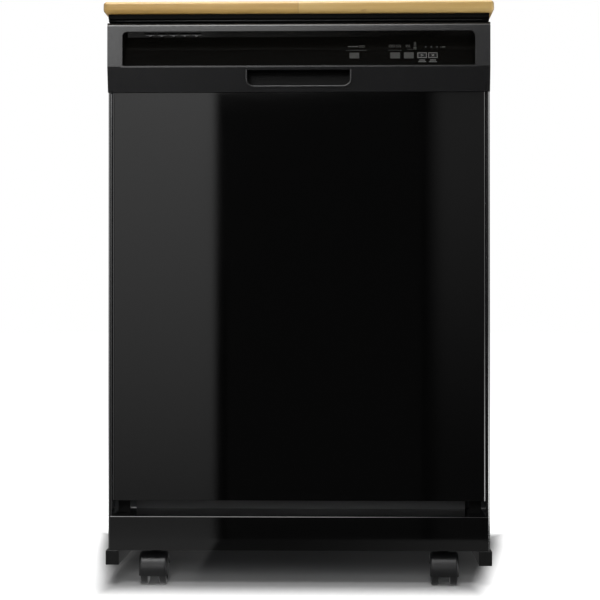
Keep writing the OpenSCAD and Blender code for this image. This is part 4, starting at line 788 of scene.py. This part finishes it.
# The keys: grey satin caps that press in through the panel. Start and cancel are black with a grey outline
# and carry the usual triangle and cross.
key_grey = moulded("grey key cap", linear(70, 70, 68), 0.5, 1600, 0.00001, gloss=0.1)
key_dark = moulded("black key cap", linear(14, 14, 14), 0.4, 1600, 0.00001, gloss=0.1)
KEY_U, KEY_W, KEY_H, KEY_OUT = 18.52, 15.6, 10.4, 0.8
for key in ("cycle", "temperature", "dry"):
    dressed(f"{key}_key", f"{key}_key_cap", key_grey, f"{key}_key_body", 0.0004)
for key, x in (("start", START_X), ("cancel", CANCEL_X)):
    dressed(f"{key}_key", f"{key}_key_cap", key_dark, f"{key}_key_body", 0.0003)
    hw, hh, t = KEY_W / 2 - 0.5, KEY_H / 2 - 0.5, 0.95
    marks = [bar(x - hw + t / 2, KEY_U, t, 2 * hh), bar(x + hw - t / 2, KEY_U, t, 2 * hh),
             bar(x, KEY_U + hh - t / 2, 2 * (hw - t), t), bar(x, KEY_U - hh + t / 2, 2 * (hw - t), t)]
    if key == "start":
        a, b, c = (x - 1.9, KEY_U - 2.5), (x - 1.9, KEY_U + 2.5), (x + 2.7, KEY_U)
        inner = [(x - 1.2, KEY_U - 1.35), (x - 1.2, KEY_U + 1.35), (x + 1.25, KEY_U)]
        marks += [[a, c, inner[2], inner[0]], [c, b, inner[1], inner[2]], [b, a, inner[0], inner[1]]]
    else:
        d, s = 1.9, 0.42
        marks += [[(x - d - s, KEY_U - d + s), (x - d + s, KEY_U - d - s), (x + d + s, KEY_U + d - s),
                   (x + d - s, KEY_U + d + s)],
                  [(x - d - s, KEY_U + d - s), (x + d - s, KEY_U - d - s), (x + d + s, KEY_U - d + s),
                   (x - d + s, KEY_U + d + s)]]
    printed(f"{key}_key_outline", marks, f"{key}_key_body", KEY_OUT / 1000 + 0.00002)
light_smoke = moulded("smoked light pipe", linear(92, 94, 96), 0.12, 300, 0.000001)
dressed("indicator_lights", "light_pipes", light_smoke, "door")

# Behind the panel: the control board on its posts. In the door's top is the latch with its tongue.
board_green = moulded("board lacquer", linear(28, 84, 50), 0.3, 300, 0.00001, 0.2)
dressed("control_board", "control_board_plate", board_green, "door", 0.0002)
latch_black = moulded("latch moulding", linear(40, 40, 41), 0.4)
dressed("door_latch", "door_latch_housing", latch_black, "door", 0.0005)
# Painted shade: the zinc hinge arms are coloured dark grey, as they stand in shade in the notches beside the
# door.
shaded_arm_zinc = sheet_metal("hinge arm zinc", linear(30, 30, 31), 0.7, 500)
dressed("hinge_arms", "hinge_arm_plates", shaded_arm_zinc, "door", 0.0004)

# The door's inner face: a pale grey moulding with a raised field, screwed to the outer panel. The tub's soft
# seal closes on its border.
liner_grey = moulded("liner moulding", linear(186, 189, 192), 0.34, 420, 0.00004, 0.1, 0.1)
dressed("door_liner", "liner_moulding", liner_grey, "door", 0.0014, 3)
LINER_FACE = -0.268
SCREW_ROWS = (0.226, 0.3735, 0.521, 0.6685, 0.816)
liner_places = [(x, LINER_FACE, z) for x in (-0.273, 0.273) for z in SCREW_ROWS]
liner_places += [(x, LINER_FACE, 0.872) for x in (-0.16, 0.16)]
grown(screws, "liner_screw_heads", points(liner_places),
      {"Head": head_mould, "Size": 1.0, "Seed": 3, "Material": plated}, "door", ["liner_screws"])
bpy.data.objects.remove(head_mould)

# The dispenser: a white housing let into the liner, with a hinged lid over the detergent cup and a blue cap
# on the rinse aid tank.
dispenser_white = moulded("dispenser moulding", linear(228, 228, 224), 0.33, 700, 0.00002, 0.1, 0.06)
lid_white = moulded("lid moulding", linear(236, 236, 233), 0.3, 700, 0.00002, 0.1, 0.05)
cap_blue = moulded("blue cap moulding", linear(48, 92, 150), 0.3, 700, 0.00002)
dressed("dispenser", "dispenser_housing", dispenser_white, "door", 0.0012, 3)
dressed("dispenser_lid", "detergent_lid", lid_white, "lid", 0.0008, 3)
dressed("rinse_cap", "rinse_aid_cap", cap_blue, "cap", 0.0007)

# The racks: spot welded round wire under a grey nylon coat. U-shaped wires run both ways under two rims, and
# rows of tines stand on wires of their own.
WIRE, TINE_RISE = 0.0044, 0.0704
WIRE_BEND, RIM_BEND = 0.008, 0.016
rack_coat = moulded("nylon coat", linear(122, 128, 134), 0.36, 500, 0.00004, 0.1, 0.15)


def rack_wires(x, y, z, rim_top, tine_x, tines):
    """A whole rack between x and y limits, with its floor at z and rows of tines at the places in tine_x."""
    made = bmesh.new()
    r = WIRE / 2
    thin = r - 0.0005

    def run(path, count=1, pitch=(0, 0, 0), radius=r, bend=0.0, closed=False):
        mesh = wire_run(path, count, pitch, rack_coat, radius, bend, closed)
        made.from_mesh(mesh)
        bpy.data.meshes.remove(mesh)

    across, lengthways = 12, 9
    left, right, near, back = x[0] + r, x[1] - r, y[0] + r, y[1] - r
    step_y = (y[1] - y[0] - 0.028 - WIRE) / (across - 1)
    first_y = y[0] + 0.014 + r
    step_x = (x[1] - x[0] - 0.040 - WIRE) / (lengthways - 1)
    first_x = x[0] + 0.020 + r
    low_z, upper_z, rim_z = z + r, z + WIRE + r - 0.001, rim_top - r
    run([(left, first_y, rim_z), (left, first_y, low_z), (right, first_y, low_z), (right, first_y, rim_z)],
        across, (0, step_y, 0), bend=WIRE_BEND)
    run([(first_x, near, rim_z), (first_x, near, upper_z), (first_x, back, upper_z), (first_x, back, rim_z)],
        lengthways, (step_x, 0, 0), bend=WIRE_BEND)
    run([(left, near, rim_z), (right, near, rim_z), (right, back, rim_z), (left, back, rim_z)],
        2, (0, 0, -(rim_z - z) / 2 + r), bend=RIM_BEND, closed=True)
    start, end = y[0] + 0.010, y[1] - 0.010
    step = (end - start - 0.012 - 2 * thin) / (tines - 1)
    first = start + 0.006 + thin
    for cx in tine_x:
        run([(cx, start, upper_z), (cx, end, upper_z)], radius=thin)
        run([(cx, first, upper_z), (cx, first, z + TINE_RISE)], tines, (0, step, 0), radius=thin)
    return made


def mirrored_box(low, high, radius, made):
    """A rounded box at the right and its mirror at the left."""
    for side in (-1, 1):
        x0, x1 = sorted((side * low[0], side * high[0]))
        rounded_box((x0, *low[1:]), (x1, *high[1:]), radius, 2, made)


def cylinder(made, start, end, radius, count=20, rounded=0.0):
    """A closed rod between two points."""
    start, end = Vector(start), Vector(end)
    turn_to = (end - start).to_track_quat("Z", "Y").to_matrix().to_4x4()
    place = Matrix.Translation((start + end) / 2) @ turn_to
    fresh = bmesh.ops.create_cone(made, cap_ends=True, segments=count, radius1=radius, radius2=radius,
                                  depth=(end - start).length, matrix=place)
    if rounded:
        rims = [e for v in fresh["verts"] for e in v.link_edges
                if sum(len(f.verts) > 4 for f in e.link_faces) == 1]
        bmesh.ops.bevel(made, geom=list(set(rims)), offset=rounded, segments=2, profile=0.5, affect="EDGES")
    return made


RACK_X, RACK_Y = (-0.250, 0.250), (-0.230, 0.225)
LOWER_FLOOR, LOWER_RIM, LOWER_TINES = 0.218, 0.330, (-0.208, -0.1365, -0.065, 0.0065, 0.078)
UPPER_FLOOR, UPPER_RIM, UPPER_TINES = 0.545, 0.660, (-0.147, -0.065, 0.065, 0.147)
WHEEL_Y, WHEEL_Z = (-0.145, 0.165), 0.197
lower = rack_wires(RACK_X, RACK_Y, LOWER_FLOOR, LOWER_RIM, LOWER_TINES, 12)
for y in WHEEL_Y:
    mirrored_box((0.249, y - 0.009, 0.190), (0.253, y + 0.009, 0.274), 0.0015, lower)
    for side in (-1, 1):
        cylinder(lower, (side * 0.252, y, WHEEL_Z), (side * 0.265, y, WHEEL_Z), 0.003, 16)
solid(lower, "lower_rack_wires", rack_coat, "lower_basket", ["lower_rack"], 50)
upper = rack_wires(RACK_X, RACK_Y, UPPER_FLOOR, UPPER_RIM, UPPER_TINES, 10)
RAIL_FOOT, RAIL_TOP, RAIL_T, RAIL_Y = 0.5977, 0.6203, 0.002, 0.234
mirrored_box((0.249, -0.230, RAIL_FOOT), (0.252, RAIL_Y, RAIL_TOP), 0.0006, upper)
mirrored_box((0.250, -RAIL_Y, RAIL_FOOT), (0.274, RAIL_Y, RAIL_FOOT + RAIL_T), 0.0006, upper)
mirrored_box((0.250, -RAIL_Y, RAIL_TOP - RAIL_T), (0.274, RAIL_Y, RAIL_TOP), 0.0006, upper)
solid(upper, "upper_rack_wires", rack_coat, "upper_basket", ["upper_rack"], 50)

# The upper rack's feed: a tube along its floor, with the spray arm's socket at its front end.
FEED_Z = 0.535
manifold = cylinder(bmesh.new(), (0, -0.001, FEED_Z), (0, 0.229, FEED_Z), 0.009, 28, 0.0008)
cylinder(manifold, (0, 0, 0.522), (0, 0, 0.546), 0.013, 28, 0.0008)
cylinder(manifold, (0, 0, 0.499), (0, 0, 0.545), 0.008, 28)
rounded_box((-0.005, 0.195, FEED_Z), (0.005, 0.205, 0.5494), 0.0008, 2, manifold)
manifold_grey = moulded("manifold moulding", linear(160, 163, 166), 0.4, 600)
solid(manifold, "upper_manifold_tube", manifold_grey, "upper_basket")

# The rollers that carry the upper rack's rails and the wheels that carry the lower rack.
wheel_white = moulded("rack wheel acetal", linear(214, 214, 208), 0.36, 700)
for node, name, body in (("front_rollers", "front_track_rollers", "rollers_front"),
                         ("rear_rollers", "rear_track_rollers", "rollers_rear"),
                         ("front_rack_wheels", "front_wheels_of_rack", "rack_wheels_front"),
                         ("rear_rack_wheels", "rear_wheels_of_rack", "rack_wheels_rear")):
    dressed(node, name, wheel_white, body, 0.0012, 3)

# The spray arms: hollow blades welded of two halves, with a row of nozzles on each half and a hub that turns
# on its post.
arm_grey = moulded("spray arm moulding", linear(172, 175, 178), 0.34, 600, 0.00002, 0.1, 0.12)
dressed("lower_spray_arm", "lower_spray_blade", arm_grey, "lower_arm", 0.0016, 3)
dressed("upper_spray_arm", "upper_spray_blade", arm_grey, "upper_arm", 0.0016, 3)

# The silverware basket: an open moulding of slats between a rim and a foot, parted into four cells.
basket_grey = moulded("basket moulding", linear(108, 114, 120), 0.4, 700, 0.00003, 0.0, 0.15)
low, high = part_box("silverware_basket")
WALL, CELLS, FLOOR_BARS, BAR_W, LONG_SLATS, SHORT_SLATS = 0.0025, 4, 9, 0.004, 41, 11
slat = rounded_box((0, 0, 0), (WALL, WALL, high.z - low.z), 0.0005, 1)
slat_mould = mesh_object("slat_mould", as_mesh(slat, "slat mould"))
basket = bmesh.new()
for z0, z1 in ((low.z, low.z + 0.010), (low.z + 0.050, low.z + 0.056), (high.z - 0.009, high.z)):
    for a, b in (((low.x, low.y), (low.x + WALL, high.y)), ((high.x - WALL, low.y), (high.x, high.y)),
                 ((low.x, low.y), (high.x, low.y + WALL)), ((low.x, high.y - WALL), (high.x, high.y))):
        rounded_box((*a, z0), (*b, z1), 0.0006, 2, basket)
cell = (high.y - low.y - WALL) / CELLS
for i in range(1, CELLS):
    y = low.y + i * cell
    rounded_box((low.x, y, low.z), (high.x, y + WALL, high.z - 0.004), 0.0006, 2, basket)
for i in range(FLOOR_BARS):
    x = low.x + 0.002 + i * (high.x - low.x - 0.004 - BAR_W) / (FLOOR_BARS - 1)
    rounded_box((x, low.y, low.z), (x + BAR_W, high.y, low.z + WALL), 0.0004, 1, basket)
long_pitch = (high.y - low.y - WALL) / (LONG_SLATS - 1)
short_pitch = (high.x - low.x - WALL) / (SHORT_SLATS - 1)


def slats(start, count, pitch):
    """Adds a row of slats to the basket."""
    mesh = grown_mesh(row_of, points([start]), {
        "Shape": slat_mould, "Count": count, "Pitch": pitch, "Material": basket_grey})
    basket.from_mesh(mesh)
    bpy.data.meshes.remove(mesh)


for x in (low.x, high.x - WALL):
    slats((x, low.y, low.z), LONG_SLATS, (0, long_pitch, 0))
for y in (low.y, high.y - WALL):
    slats((low.x, y, low.z), SHORT_SLATS, (short_pitch, 0, 0))
bpy.data.objects.remove(slat_mould)
solid(basket, "silverware_basket_slats", basket_grey, "lower_basket", ["silverware_basket"])
